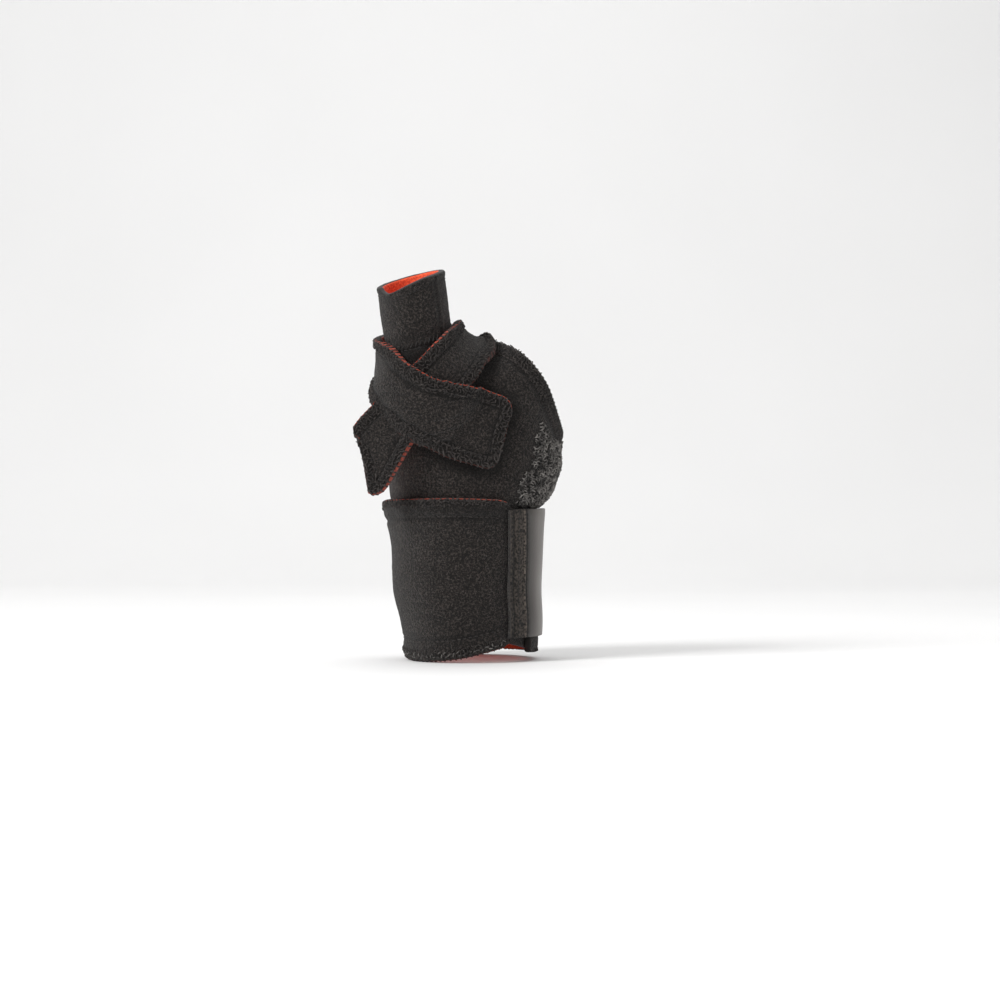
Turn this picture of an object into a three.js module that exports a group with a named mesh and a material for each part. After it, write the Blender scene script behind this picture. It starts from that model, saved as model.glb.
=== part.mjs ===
// A right-hand thumb and wrist wrap, fastened as it is worn.
//
// Millimetres, +Z up towards the thumb sleeve's rim. -X is the palm side, +X the
// back, -Y the thumb's side and +Y the far side. The origin is the
// middle of the wrist opening, level with the lower edge of the wrist band.
//
// Every sheet of fabric lies on one smooth form, which the wrap encloses.
// A sheet is a grid of points on that form, and its two faces lie at two distances
// outside it, so sheets that lie on each other stay one layer gap apart.

import * as THREE from "three";

// Driving sizes

const WRIST_THICKNESS = 50;
const WRIST_BREADTH = 54;
const WEB_HEIGHT = 130;
const THUMB_DIAMETER = 24;
const WEB_ROUNDING = 17;
const TAUT_ROUNDING = 21;
const TRUNK_SQUARENESS = 2.25;

const FABRIC = 2.7;
const TAB_FABRIC = 1.2;
const LAYER_GAP = 0.55;

const BODY_PAST_WEB = 1;
const BODY_HEIGHT = WEB_HEIGHT + BODY_PAST_WEB;
const SLEEVE_LENGTH = 26.5;
const SLEEVE_SEAM_HEIGHT = WEB_HEIGHT;
const SLEEVE_SEAM_GAP = 0.6;
const SLEEVE_SLOPE_BACK = 0.3;
const SLEEVE_SLOPE_FAR = 0.18;

const BAND_HEIGHT = 66;
const BAND_START_ANGLE = -32;
const BAND_END_ANGLE = 312;
const TAB_HEIGHT = 54;
const TAB_START_ANGLE = 301;
const TAB_END_ANGLE = 405;
const TAB_BOW = 2.6;
const UPRIGHT_TILT = 0.25;

const STRAP_WIDTH = 22;
const STRAP_END_WIDTH = 31;
const STRAP_CORNER = 5;
const STRAP_RAMP = 10;
const STRAP_CROSSING_CLEARANCE = 1.2;
const STRAP_GAP = 0.7;

// Grid steps

const BODY_ROWS = 22;
const SLEEVE_ROWS = 7;
const WEB_ROWS = 6;
const THUMB_COLUMNS = 21;
const WEB_COLUMNS = 12;
const HAND_COLUMNS = 25;
const BAND_ROWS = 11;
const BAND_COLUMNS = 48;
const TAB_COLUMNS = 22;
const ROWS_BUNCHED = 0.45;
const STRAP_STEP = 3.2;
const STRAP_COLUMNS = 8;

// Colours

const FABRIC_BLACK = 0x2f2b28;
const TAB_GREY = 0x504c49;

/** Turns rows of numbers into objects with the named columns. */
function table(columns, rows) {
  return rows.map((row) =>
    Object.fromEntries(columns.map((name, i) => [name, row[i]])),
  );
}

// Sections of the form's trunk, from the wrist up. The rise is a share of the web's
// height, palm and back are shares of the wrist's thickness, thumb and little of its
// breadth.
const TRUNK_SECTIONS = table(
  ["rise", "palm", "back", "thumb", "little"],
  [
    [-0.12, -0.43, 0.46, -0.48, 0.5],
    [0.0, -0.432, 0.458, -0.48, 0.5],
    [0.1, -0.472, 0.47, -0.487, 0.504],
    [0.2, -0.535, 0.459, -0.5, 0.515],
    [0.285, -0.548, 0.467, -0.509, 0.522],
    [0.37, -0.55, 0.477, -0.522, 0.537],
    [0.45, -0.556, 0.488, -0.535, 0.552],
    [0.48, -0.558, 0.495, -0.541, 0.558],
    [0.503, -0.56, 0.556, -0.545, 0.566],
    [0.52, -0.56, 0.622, -0.548, 0.576],
    [0.545, -0.548, 0.674, -0.551, 0.589],
    [0.6, -0.5, 0.715, -0.555, 0.62],
    [0.69, -0.38, 0.72, -0.55, 0.69],
    [0.76, -0.28, 0.775, -0.53, 0.74],
    [0.87, -0.08, 0.87, -0.5, 0.85],
    [0.95, 0.08, 0.92, -0.48, 0.92],
    [1.03, 0.24, 0.95, -0.463, 0.97],
    [1.2, 0.26, 0.98, -0.45, 1.04],
  ],
);

// Stations of the thumb. The rise is a share of the web's height, palm and near are
// shares of the wrist's thickness and breadth, and the radius is a share of the
// thumb's diameter.
const THUMB_STATIONS = table(
  ["rise", "palm", "near", "radius"],
  [
    [0.54, -0.13, -0.08, 0.8],
    [0.68, -0.27, -0.22, 0.8],
    [0.815, -0.33, -0.358, 0.545],
    [0.94, -0.38, -0.43, 0.49],
    [1.055, -0.438, -0.49, 0.485],
    [1.17, -0.475, -0.556, 0.482],
    [1.29, -0.515, -0.63, 0.51],
    [1.4, -0.55, -0.7, 0.5],
  ],
);

// The web between the thumb and the palm, as balls along a short line.
const WEB_STATIONS = table(
  ["rise", "palm", "near", "radius"],
  [
    [0.86, -0.3, -0.35, 0.5],
    [0.872, -0.08, -0.31, 0.47],
    [0.858, 0.16, -0.26, 0.43],
  ],
);

// The body's lower edge and the hand opening's edge, by angle round the wrist, as
// shares of the body's height. Turn is how far a column has turned round the palm,
// in degrees, where it meets the hand opening.
const BODY_EDGES = table(
  ["angle", "bottom", "top", "turn"],
  [
    [-70, 0.035, 0.987, -69],
    [-62, 0.035, 0.979, -66],
    [-54, 0.035, 0.969, -58],
    [-46, 0.03, 0.947, -49],
    [-38, 0.025, 0.912, -41],
    [-30, 0.02, 0.869, -34],
    [-20, 0.015, 0.805, -27],
    [-10, 0.01, 0.75, -20],
    [0, 0.01, 0.719, -12],
    [15, 0.01, 0.68, -5],
    [30, 0.01, 0.645, 0],
    [60, 0.01, 0.605, 0],
    [90, 0.01, 0.595, 0],
    [105, 0.01, 0.61, 2],
    [120, 0.01, 0.655, 6],
    [132, 0.01, 0.72, 12],
    [142, 0.01, 0.79, 20],
    [151, 0.01, 0.86, 29],
    [160, 0.01, 0.92, 37],
    [200, 0.01, 0.9, 0],
    [290, 0.035, 0.9, 0],
  ],
);

// The band's edges by angle round the wrist, as shares of the band's height.
const BAND_EDGES = table(
  ["angle", "bottom", "top"],
  [
    [-32, 0.01, 0.9],
    [0, 0.0, 0.91],
    [60, -0.01, 0.93],
    [120, -0.02, 0.95],
    [185, -0.03, 0.97],
    [215, -0.045, 0.985],
    [255, -0.03, 0.99],
    [285, 0.015, 0.985],
    [298, 0.045, 0.975],
    [305, 0.08, 0.93],
    [312, 0.11, 0.9],
  ],
);

// The height above which the band and tab stand straight, clear of the palm's flare,
// by angle round the wrist, as a share of the band's height.
const CUFF_LIMITS = table(
  ["angle", "limit"],
  [
    [-60, 0.89],
    [60, 0.89],
    [120, 0.92],
    [180, 1.0],
    [298, 0.99],
    [306, 0.93],
    [312, 0.89],
    [405, 0.89],
  ],
);

// The closure tab's edges by angle round the wrist, as shares of the tab's height.
const TAB_EDGES = table(
  ["angle", "bottom", "top"],
  [
    [301, 0.13, 1.12],
    [320, 0.13, 1.13],
    [360, 0.13, 1.13],
    [405, 0.1, 1.1],
  ],
);

// How far the sleeve's rim dips by angle round the thumb, as a share of its length.
const SLEEVE_RIM = table(
  ["angle", "dip"],
  [
    [-300, 0],
    [-172, 0],
    [-155, 0.06],
    [-140, 0.1],
    [-125, 0.095],
    [-105, 0.06],
    [-80, 0.02],
    [-60, 0],
    [-35, 0],
  ],
);

// The thumb strap's middle line, from the end that points to the palm side, over
// the web, behind the thumb and across the front to the end at the wrap's back.
// It is pulled taut over the hollow of the web. Rise is a share of the web's
// height, back and far are shares of the wrist's thickness and breadth, widen is
// the share of the way from the strap's width to its end's width, and slant moves
// the two edges apart along the strap, as a share of the strap's width. Free is 1
// where the strap stands off the form.
const STRAP_STATIONS = table(
  ["rise", "back", "far", "widen", "slant", "free"],
  [
    [0.601, -0.834, -0.6, 0.45, 0.386, 1],
    [0.675, -0.712, -0.615, 0.35, 0.2, 1],
    [0.743, -0.592, -0.632, 0.2, 0.05, 0.6],
    [0.79, -0.438, -0.639, 0, 0, 0],
    [0.839, -0.337, -0.672, 0, 0, 0],
    [0.893, -0.23, -0.655, 0, 0, 0],
    [0.946, -0.115, -0.603, 0.2, 0, 0],
    [0.999, -0.008, -0.523, 0.35, 0, 0],
    [1.0, 0.05, -0.33, 0.3, 0, 0],
    [0.985, 0.0, -0.14, 0.1, 0, 0],
    [0.965, -0.16, -0.03, 0, 0, 0],
    [0.955, -0.35, -0.04, 0, 0, 0],
    [0.95, -0.54, -0.15, 0, 0, 0],
    [0.94, -0.66, -0.34, 0, 0, 0],
    [0.92, -0.67, -0.533, 0, 0, 0],
    [0.863, -0.556, -0.625, 0, 0, 0],
    [0.803, -0.383, -0.655, 0.2, 0, 0],
    [0.755, -0.165, -0.619, 0.65, 0, 0],
    [0.733, -0.016, -0.588, 0.85, 0, 0],
    [0.703, 0.265, -0.555, 1, 0, 0],
  ],
);
const STRAP_LOWER_RUN_STATIONS = 8;
const STRAP_FREE_STATIONS = 3;

// Where the body's two split lines stand, as angles round the wrist, and where the
// hand opening's edge crosses the two ends of the web.
const FRONT_LINE_ANGLE = 290;
const BACK_LINE_ANGLE = 160;
const POLAR_SHARE = 0.68;
const NEAR_SEAM_SHARE = 0.82;
const WEB_FRONT = { rise: 0.995, back: 0.245, far: -0.277 };
const WEB_MIDDLE = { rise: 0.985, back: 0.2, far: -0.12 };
const WEB_BACK = { rise: 0.927, back: -0.016, far: -0.01 };
const SEAM_WEB_FRONT_ANGLE = -35;
const SEAM_WEB_BACK_ANGLE = 60;

const radians = THREE.MathUtils.degToRad;
const { clamp, lerp, smoothstep } = THREE.MathUtils;

/** Reads one column of a table at a key, along a smooth curve through the rows. */
function read(rows, keyName, column, key) {
  const last = rows.length - 1;
  const at = clamp(key, rows[0][keyName], rows[last][keyName]);
  let i = 0;
  while (i < last - 1 && at > rows[i + 1][keyName]) i += 1;
  const slopeAt = (k) => {
    const before = rows[Math.max(k - 1, 0)];
    const after = rows[Math.min(k + 1, last)];
    return (after[column] - before[column]) / (after[keyName] - before[keyName]);
  };
  const width = rows[i + 1][keyName] - rows[i][keyName];
  const t = (at - rows[i][keyName]) / width;
  const ease = t * t * (3 - 2 * t);
  return (
    rows[i][column] * (1 - ease) +
    rows[i + 1][column] * ease +
    width * t * (1 - t) * ((1 - t) * slopeAt(i) - t * slopeAt(i + 1))
  );
}

// The form

/** Gives the trunk's oval at a height: its middle and half widths. */
function trunkOval(height) {
  const side = (column, size) =>
    size * read(TRUNK_SECTIONS, "rise", column, height / WEB_HEIGHT);
  const palm = side("palm", WRIST_THICKNESS);
  const back = side("back", WRIST_THICKNESS);
  const near = side("thumb", WRIST_BREADTH);
  const far = side("little", WRIST_BREADTH);
  return {
    x: (palm + back) / 2,
    y: (near + far) / 2,
    halfX: (back - palm) / 2,
    halfY: (far - near) / 2,
  };
}

/** Distance of a point outside the trunk, nearly exact close to them. */
function trunkLevel(p) {
  const oval = trunkOval(p.z);
  const x = p.x - oval.x;
  const y = p.y - oval.y;
  const size = Math.pow(
    Math.pow(Math.abs(x / oval.halfX), TRUNK_SQUARENESS) +
      Math.pow(Math.abs(y / oval.halfY), TRUNK_SQUARENESS),
    1 / TRUNK_SQUARENESS,
  );
  return Math.hypot(x, y) * (1 - 1 / Math.max(size, 1e-3));
}

/** Balls along a smooth line through stations of the thumb's table kind. */
function ballsAlong(stations, heightSize) {
  const points = stations.map(
    (row) =>
      new THREE.Vector3(
        row.palm * WRIST_THICKNESS,
        row.near * WRIST_BREADTH,
        row.rise * heightSize,
      ),
  );
  const curve = new THREE.CatmullRomCurve3(points, false, "centripetal");
  const steps = 4 * (points.length - 1);
  return Array.from({ length: steps + 1 }, (_, i) => {
    const station = (i / steps) * (points.length - 1);
    const below = Math.min(Math.floor(station), points.length - 2);
    const radius = lerp(
      stations[below].radius,
      stations[below + 1].radius,
      station - below,
    );
    return { middle: curve.getPoint(i / steps), radius: radius * THUMB_DIAMETER };
  });
}

const THUMB_BALLS = ballsAlong(THUMB_STATIONS, WEB_HEIGHT);
const WEB_BALLS = ballsAlong(WEB_STATIONS, WEB_HEIGHT);

/** Distance of a point outside the surface drawn over a row of balls. */
function ballsLevel(balls, p) {
  let least = Infinity;
  for (let i = 0; i + 1 < balls.length; i += 1) {
    const a = balls[i];
    const b = balls[i + 1];
    const run = b.middle.clone().sub(a.middle);
    const share = clamp(
      p.clone().sub(a.middle).dot(run) / run.lengthSq(),
      0,
      1,
    );
    const away = p.distanceTo(a.middle.clone().addScaledVector(run, share));
    least = Math.min(least, away - lerp(a.radius, b.radius, share));
  }
  return least;
}

/** The lower of two levels, with the hollow between them rounded. */
function rounded(a, b, rounding) {
  const near = Math.max(rounding - Math.abs(a - b), 0) / rounding;
  return Math.min(a, b) - (near * near * rounding) / 4;
}

/** Distance of a point outside the form, with the hollows round the thumb filled. */
function formLevel(p, rounding = WEB_ROUNDING) {
  const hand = rounded(trunkLevel(p), ballsLevel(WEB_BALLS, p), rounding);
  return rounded(hand, ballsLevel(THUMB_BALLS, p), rounding);
}

/** The form level's slope at a point. */
function formSlope(p, rounding) {
  const h = 0.05;
  const along = (x, y, z) =>
    (formLevel(new THREE.Vector3(p.x + x, p.y + y, p.z + z), rounding) -
      formLevel(new THREE.Vector3(p.x - x, p.y - y, p.z - z), rounding)) /
    (2 * h);
  return new THREE.Vector3(along(h, 0, 0), along(0, h, 0), along(0, 0, h));
}

/** Moves a point onto the form and gives it with the form's outward normal there. */
function settle(guess, rounding) {
  const point = guess.clone();
  for (let i = 0; i < 12; i += 1) {
    const slope = formSlope(point, rounding);
    const step = formLevel(point, rounding) / slope.lengthSq();
    point.addScaledVector(slope, -clamp(step, -6, 6));
  }
  return { point, normal: formSlope(point, rounding).normalize() };
}

/** The form's surface seen from the middle of the trunk at an angle and height. */
function roundWrist(angle, height) {
  const oval = trunkOval(height);
  const direction = new THREE.Vector3(
    Math.cos(radians(angle)) * oval.halfX,
    Math.sin(radians(angle)) * oval.halfY,
    0,
  ).normalize();
  const origin = new THREE.Vector3(oval.x, oval.y, height);
  return reach(origin, direction);
}

/** The first place where a ray from inside the form comes out of it. */
function reach(origin, direction) {
  const at = (distance) => origin.clone().addScaledVector(direction, distance);
  let inside = 0;
  let outside = 1;
  while (formLevel(at(outside)) < 0 && outside < 2 * WRIST_BREADTH) {
    inside = outside;
    outside += 1;
  }
  for (let i = 0; i < 14; i += 1) {
    const middle = (inside + outside) / 2;
    if (formLevel(at(middle)) < 0) inside = middle;
    else outside = middle;
  }
  return at(outside);
}

/** The thumb's middle at a height. */
function thumbMiddle(height) {
  let i = 0;
  while (i < THUMB_BALLS.length - 2 && THUMB_BALLS[i + 1].middle.z < height) i += 1;
  const a = THUMB_BALLS[i].middle;
  const b = THUMB_BALLS[i + 1].middle;
  return a.clone().lerp(b, (height - a.z) / (b.z - a.z));
}

/** The form's surface round the thumb, on the slanted plane of the sleeve's edges. */
function roundThumb(angle, height) {
  const x = Math.cos(radians(angle));
  const y = Math.sin(radians(angle));
  const direction = new THREE.Vector3(
    x,
    y,
    SLEEVE_SLOPE_BACK * x + SLEEVE_SLOPE_FAR * y,
  ).normalize();
  return reach(thumbMiddle(height), direction);
}

// Sheets

/** A sheet of fabric: points on a form, and the distances of its two faces. */
class Sheet {
  constructor() {
    this.places = [];
    this.quads = [];
  }

  /** Adds a point with its outward normal and the two faces' distances. */
  add(point, normal, low, high) {
    this.places.push({ point, normal, low, high });
    return this.places.length - 1;
  }

  /** Adds a point that is moved onto the form first. */
  addOnForm(guess, low, high) {
    const { point, normal } = settle(guess);
    return this.add(point, normal, low, high);
  }

  /** Adds a point round the wrist whose two faces stand nearly straight out from it. */
  addOnCuff(angle, height, low, high) {
    const limit = BAND_HEIGHT * read(CUFF_LIMITS, "angle", "limit", angle);
    const { point, normal } = settle(roundWrist(angle, Math.min(height, limit)));
    point.z += Math.max(height - limit, 0);
    const flat = normal.clone();
    flat.z *= UPRIGHT_TILT;
    flat.normalize();
    return this.add(point, flat.divideScalar(flat.dot(normal)), low, high);
  }

  /** Joins a grid of point numbers, rows of equal length, with four-sided faces. */
  join(grid) {
    const quads = [];
    for (let i = 0; i + 1 < grid.length; i += 1) {
      for (let j = 0; j + 1 < grid[i].length; j += 1) {
        quads.push([
          grid[i][j],
          grid[i][j + 1],
          grid[i + 1][j + 1],
          grid[i + 1][j],
        ]);
      }
    }
    const look = quads.reduce((sum, quad) => sum + this.outwardness(quad), 0);
    if (look < 0) quads.forEach((quad) => quad.reverse());
    this.quads.push(...quads);
  }

  /** How far a face looks the way that its points' normals do, by its area. */
  outwardness(quad) {
    const [a, b, c, d] = quad.map((i) => this.places[i].point);
    const look = new THREE.Vector3().crossVectors(
      c.clone().sub(a),
      d.clone().sub(b),
    );
    const out = new THREE.Vector3();
    quad.forEach((i) => out.add(this.places[i].normal));
    return look.dot(out);
  }

  /** The closed solid between the sheet's two faces. */
  solid() {
    const count = this.places.length;
    const positions = [];
    for (const side of ["high", "low"]) {
      for (const place of this.places) {
        const p = place.point.clone().addScaledVector(place.normal, place[side]);
        positions.push(p.x, p.y, p.z);
      }
    }
    const triangles = [];
    const edges = new Map();
    for (const quad of this.quads) {
      const [a, b, c, d] = quad;
      const p = quad.map((i) => this.places[i].point);
      const split =
        p[0].distanceTo(p[2]) < 1.1 * p[1].distanceTo(p[3])
          ? [a, b, c, a, c, d]
          : [a, b, d, b, c, d];
      for (let i = 0; i < split.length; i += 3) {
        const [u, v, w] = split.slice(i, i + 3);
        triangles.push(u, v, w, u + count, w + count, v + count);
      }
      quad.forEach((from, i) => edges.set(from + ">" + quad[(i + 1) % 4], [from, quad[(i + 1) % 4]]));
    }
    for (const [from, to] of edges.values()) {
      if (edges.has(to + ">" + from)) continue;
      triangles.push(to, from, from + count, to, from + count, to + count);
    }
    const geometry = new THREE.BufferGeometry();
    geometry.setAttribute(
      "position",
      new THREE.Float32BufferAttribute(positions, 3),
    );
    geometry.setIndex(triangles);
    geometry.computeVertexNormals();
    return geometry;
  }
}

/** Counts from 0 to 1 in equal steps, both ends included. */
function shares(steps) {
  return Array.from({ length: steps + 1 }, (_, i) => i / steps);
}

/** Counts from 0 to 1, closer together near 1, where the palm flares out. */
function bunchedShares(steps) {
  return shares(steps).map((s) => s + ROWS_BUNCHED * s * (1 - s));
}

/** Makes a named mesh of a sheet. */
function fabricMesh(name, sheet, color, roughness) {
  const material = new THREE.MeshStandardMaterial({
    color,
    roughness,
    metalness: 0,
  });
  const mesh = new THREE.Mesh(sheet.solid(), material);
  mesh.name = name;
  return mesh;
}

// Hand body and thumb sleeve

/** A place given by its rise and its shares of the wrist's thickness and breadth. */
function placed({ rise, back, far }) {
  return new THREE.Vector3(
    back * WRIST_THICKNESS,
    far * WRIST_BREADTH,
    rise * WEB_HEIGHT,
  );
}

/** A place on one of the body's columns: its wrist angle, and how far up it is. */
function bodyPlace(angle, rise) {
  const edge = (column) => read(BODY_EDGES, "angle", column, angle);
  const height = BODY_HEIGHT * lerp(edge("bottom"), edge("top"), rise);
  return roundWrist(angle + edge("turn") * rise * rise, height);
}

/** The seam between body and sleeve, at a share of the way from the web's front to its back. */
function seamPoint(share, height) {
  const angle = lerp(SEAM_WEB_FRONT_ANGLE, SEAM_WEB_BACK_ANGLE - 360, share);
  return roundThumb(angle, height);
}

/** The same seam across the web, at a share of the way from its front end to its back end. */
function webSeamPoint(share, height) {
  const angle = lerp(SEAM_WEB_FRONT_ANGLE, SEAM_WEB_BACK_ANGLE, share);
  return roundThumb(angle, height);
}

/** One of the columns on the thumb's side, straight up, from the lower edge to near the seam. */
function straightColumn(share) {
  const angle = lerp(FRONT_LINE_ANGLE, BACK_LINE_ANGLE, share);
  const bottom = BODY_HEIGHT * read(BODY_EDGES, "angle", "bottom", angle);
  const polarTop = POLAR_SHARE * WEB_HEIGHT;
  const rim = seamPoint(share, SLEEVE_SEAM_HEIGHT - SLEEVE_SEAM_GAP);
  const knee = roundWrist(angle, polarTop);
  const top = knee.clone().lerp(rim, NEAR_SEAM_SHARE);
  return shares(BODY_ROWS).map((rise) => {
    const height = lerp(bottom, top.z, rise);
    const above = (height - polarTop) / (top.z - polarTop);
    return above > 0
      ? knee.clone().lerp(top, above)
      : roundWrist(angle, height);
  });
}

/** How far a split line's column, which turns to a corner of the web, stands from its straight one. */
function turnedShifts(share, angle, corner) {
  const miss = placed(corner).sub(bodyPlace(angle, 1));
  return straightColumn(share).map((straight, i) => {
    const rise = i / BODY_ROWS;
    return bodyPlace(angle, rise)
      .addScaledVector(miss, Math.pow(rise, 4))
      .sub(straight);
  });
}

/** One of the body's columns on the thumb's side, from its lower edge to the seam. */
function thumbSideColumn(share, frontShifts, backShifts) {
  const lower = straightColumn(share).map((point, i) =>
    point
      .addScaledVector(frontShifts[i], (1 - share) ** 2)
      .addScaledVector(backShifts[i], share ** 2),
  );
  const rim = seamPoint(share, SLEEVE_SEAM_HEIGHT - SLEEVE_SEAM_GAP);
  const upper = shares(WEB_ROWS)
    .slice(1)
    .map((rise) => lower.at(-1).clone().lerp(rim, rise));
  return [...lower, ...upper];
}

/** The body: one sheet from the wrist to the hand opening and the sleeve's seam. */
function handBody() {
  const sheet = new Sheet();
  const add = (guess) => sheet.addOnForm(guess, 0, FABRIC);
  const frontShifts = turnedShifts(0, FRONT_LINE_ANGLE - 360, WEB_FRONT);
  const backShifts = turnedShifts(1, BACK_LINE_ANGLE, WEB_BACK);
  const thumbSide = shares(THUMB_COLUMNS).map((share) =>
    thumbSideColumn(share, frontShifts, backShifts).map(add),
  );
  const front = thumbSide[0];
  const back = thumbSide.at(-1);
  sheet.join(thumbSide);
  const handSide = shares(HAND_COLUMNS).map((share, i) => {
    if (i === 0) return back.slice(0, BODY_ROWS + 1);
    if (i === HAND_COLUMNS) return front.slice(0, BODY_ROWS + 1);
    const angle = lerp(BACK_LINE_ANGLE, FRONT_LINE_ANGLE - 360, share);
    return shares(BODY_ROWS).map((rise) => add(bodyPlace(angle, rise)));
  });
  sheet.join(handSide);
  const webEdge = new THREE.QuadraticBezierCurve3(
    placed(WEB_FRONT),
    placed(WEB_MIDDLE),
    placed(WEB_BACK),
  );
  const web = shares(WEB_COLUMNS).map((share, i) => {
    if (i === 0) return front.slice(BODY_ROWS);
    if (i === WEB_COLUMNS) return back.slice(BODY_ROWS);
    const edge = webEdge.getPoint(share);
    const rim = webSeamPoint(share, SLEEVE_SEAM_HEIGHT - SLEEVE_SEAM_GAP);
    return shares(WEB_ROWS).map((rise) => add(edge.clone().lerp(rim, rise)));
  });
  sheet.join(web);
  return fabricMesh("hand_body", sheet, FABRIC_BLACK, 0.95);
}

/** The sleeve: a ring of fabric round the thumb, butted to the body's seam. */
function thumbSleeve() {
  const sheet = new Sheet();
  const around = THUMB_COLUMNS + WEB_COLUMNS;
  const rings = shares(SLEEVE_ROWS).map((rise) => {
    const height = SLEEVE_SEAM_HEIGHT + SLEEVE_LENGTH * rise;
    const ring = shares(THUMB_COLUMNS).map((share) => {
      const angle = lerp(SEAM_WEB_FRONT_ANGLE, SEAM_WEB_BACK_ANGLE - 360, share);
      const dip = SLEEVE_LENGTH * read(SLEEVE_RIM, "angle", "dip", angle);
      return seamPoint(share, height - dip * rise);
    });
    const web = shares(WEB_COLUMNS).map((share) => webSeamPoint(share, height));
    const points = [...ring, ...web.slice(1, -1).reverse()];
    const numbers = points.map((p) => sheet.addOnForm(p, 0, FABRIC));
    return [...numbers, numbers[0]].slice(0, around + 1);
  });
  sheet.join(rings);
  return fabricMesh("thumb_sleeve", sheet, FABRIC_BLACK, 0.95);
}

// Wrist band and closure tab

/** The wrist band: a strip round the wrist, over the body. */
function wristBand() {
  const sheet = new Sheet();
  const low = FABRIC + LAYER_GAP;
  const columns = shares(BAND_COLUMNS).map((share) => {
    const angle = lerp(BAND_START_ANGLE, BAND_END_ANGLE, share);
    const bottom = BAND_HEIGHT * read(BAND_EDGES, "angle", "bottom", angle);
    const top = BAND_HEIGHT * read(BAND_EDGES, "angle", "top", angle);
    return bunchedShares(BAND_ROWS).map((rise) =>
      sheet.addOnCuff(angle, lerp(bottom, top, rise), low, low + FABRIC),
    );
  });
  sheet.join(columns);
  return fabricMesh("wrist_band", sheet, FABRIC_BLACK, 0.95);
}

/** The closure tab: a thin smooth sheet over both of the band's ends. */
function closureTab() {
  const sheet = new Sheet();
  const overBody = FABRIC + LAYER_GAP;
  const overBand = overBody + FABRIC + LAYER_GAP;
  const angles = shares(TAB_COLUMNS).map((s) =>
    lerp(TAB_START_ANGLE, TAB_END_ANGLE, s),
  );
  const columns = angles.map((angle, i) => {
    const bottom = TAB_HEIGHT * read(TAB_EDGES, "angle", "bottom", angle);
    const top = TAB_HEIGHT * read(TAB_EDGES, "angle", "top", angle);
    const bow = 4 * TAB_BOW * (1 - i / TAB_COLUMNS);
    return bunchedShares(BAND_ROWS).map((rise) =>
      sheet.addOnCuff(
        angle + bow * rise * (1 - rise),
        lerp(bottom, top, rise),
        overBand,
        overBand + TAB_FABRIC,
      ),
    );
  });
  sheet.join(columns);
  return fabricMesh("closure_tab", sheet, TAB_GREY, 0.55);
}

// Thumb strap

/** The strap's stations as places, settled on the form where the strap lies on it. */
function strapPlaces() {
  return STRAP_STATIONS.map((row) => {
    const place = placed(row);
    return row.free ? place : settle(place, TAUT_ROUNDING).point;
  });
}

/** Reads a strap column at a station number with a fraction. */
function strapColumn(column, station) {
  const numbered = STRAP_STATIONS.map((row, station) => ({ station, ...row }));
  return read(numbered, "station", column, station);
}

/** Half of the strap's width at a station, with rounded corners at its two ends. */
function strapHalfWidth(station, fromEnd) {
  const half =
    lerp(STRAP_WIDTH, STRAP_END_WIDTH, strapColumn("widen", station)) / 2;
  if (fromEnd >= STRAP_CORNER) return half;
  const short = STRAP_CORNER - fromEnd;
  return half - STRAP_CORNER + Math.sqrt(STRAP_CORNER ** 2 - short ** 2);
}

/** Stations along the strap, with shorter steps round its end's corners. */
function strapStations(curve) {
  const length = curve.getLength();
  const corner = [0, 0.12, 0.35, 0.65, 1].map((s) => s * STRAP_CORNER);
  const steps = Math.round((length - 2 * STRAP_CORNER) / STRAP_STEP);
  const middle = shares(steps)
    .slice(1, -1)
    .map((s) => lerp(STRAP_CORNER, length - STRAP_CORNER, s));
  return [...corner, ...middle, ...corner.map((d) => length - d).reverse()];
}

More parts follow.
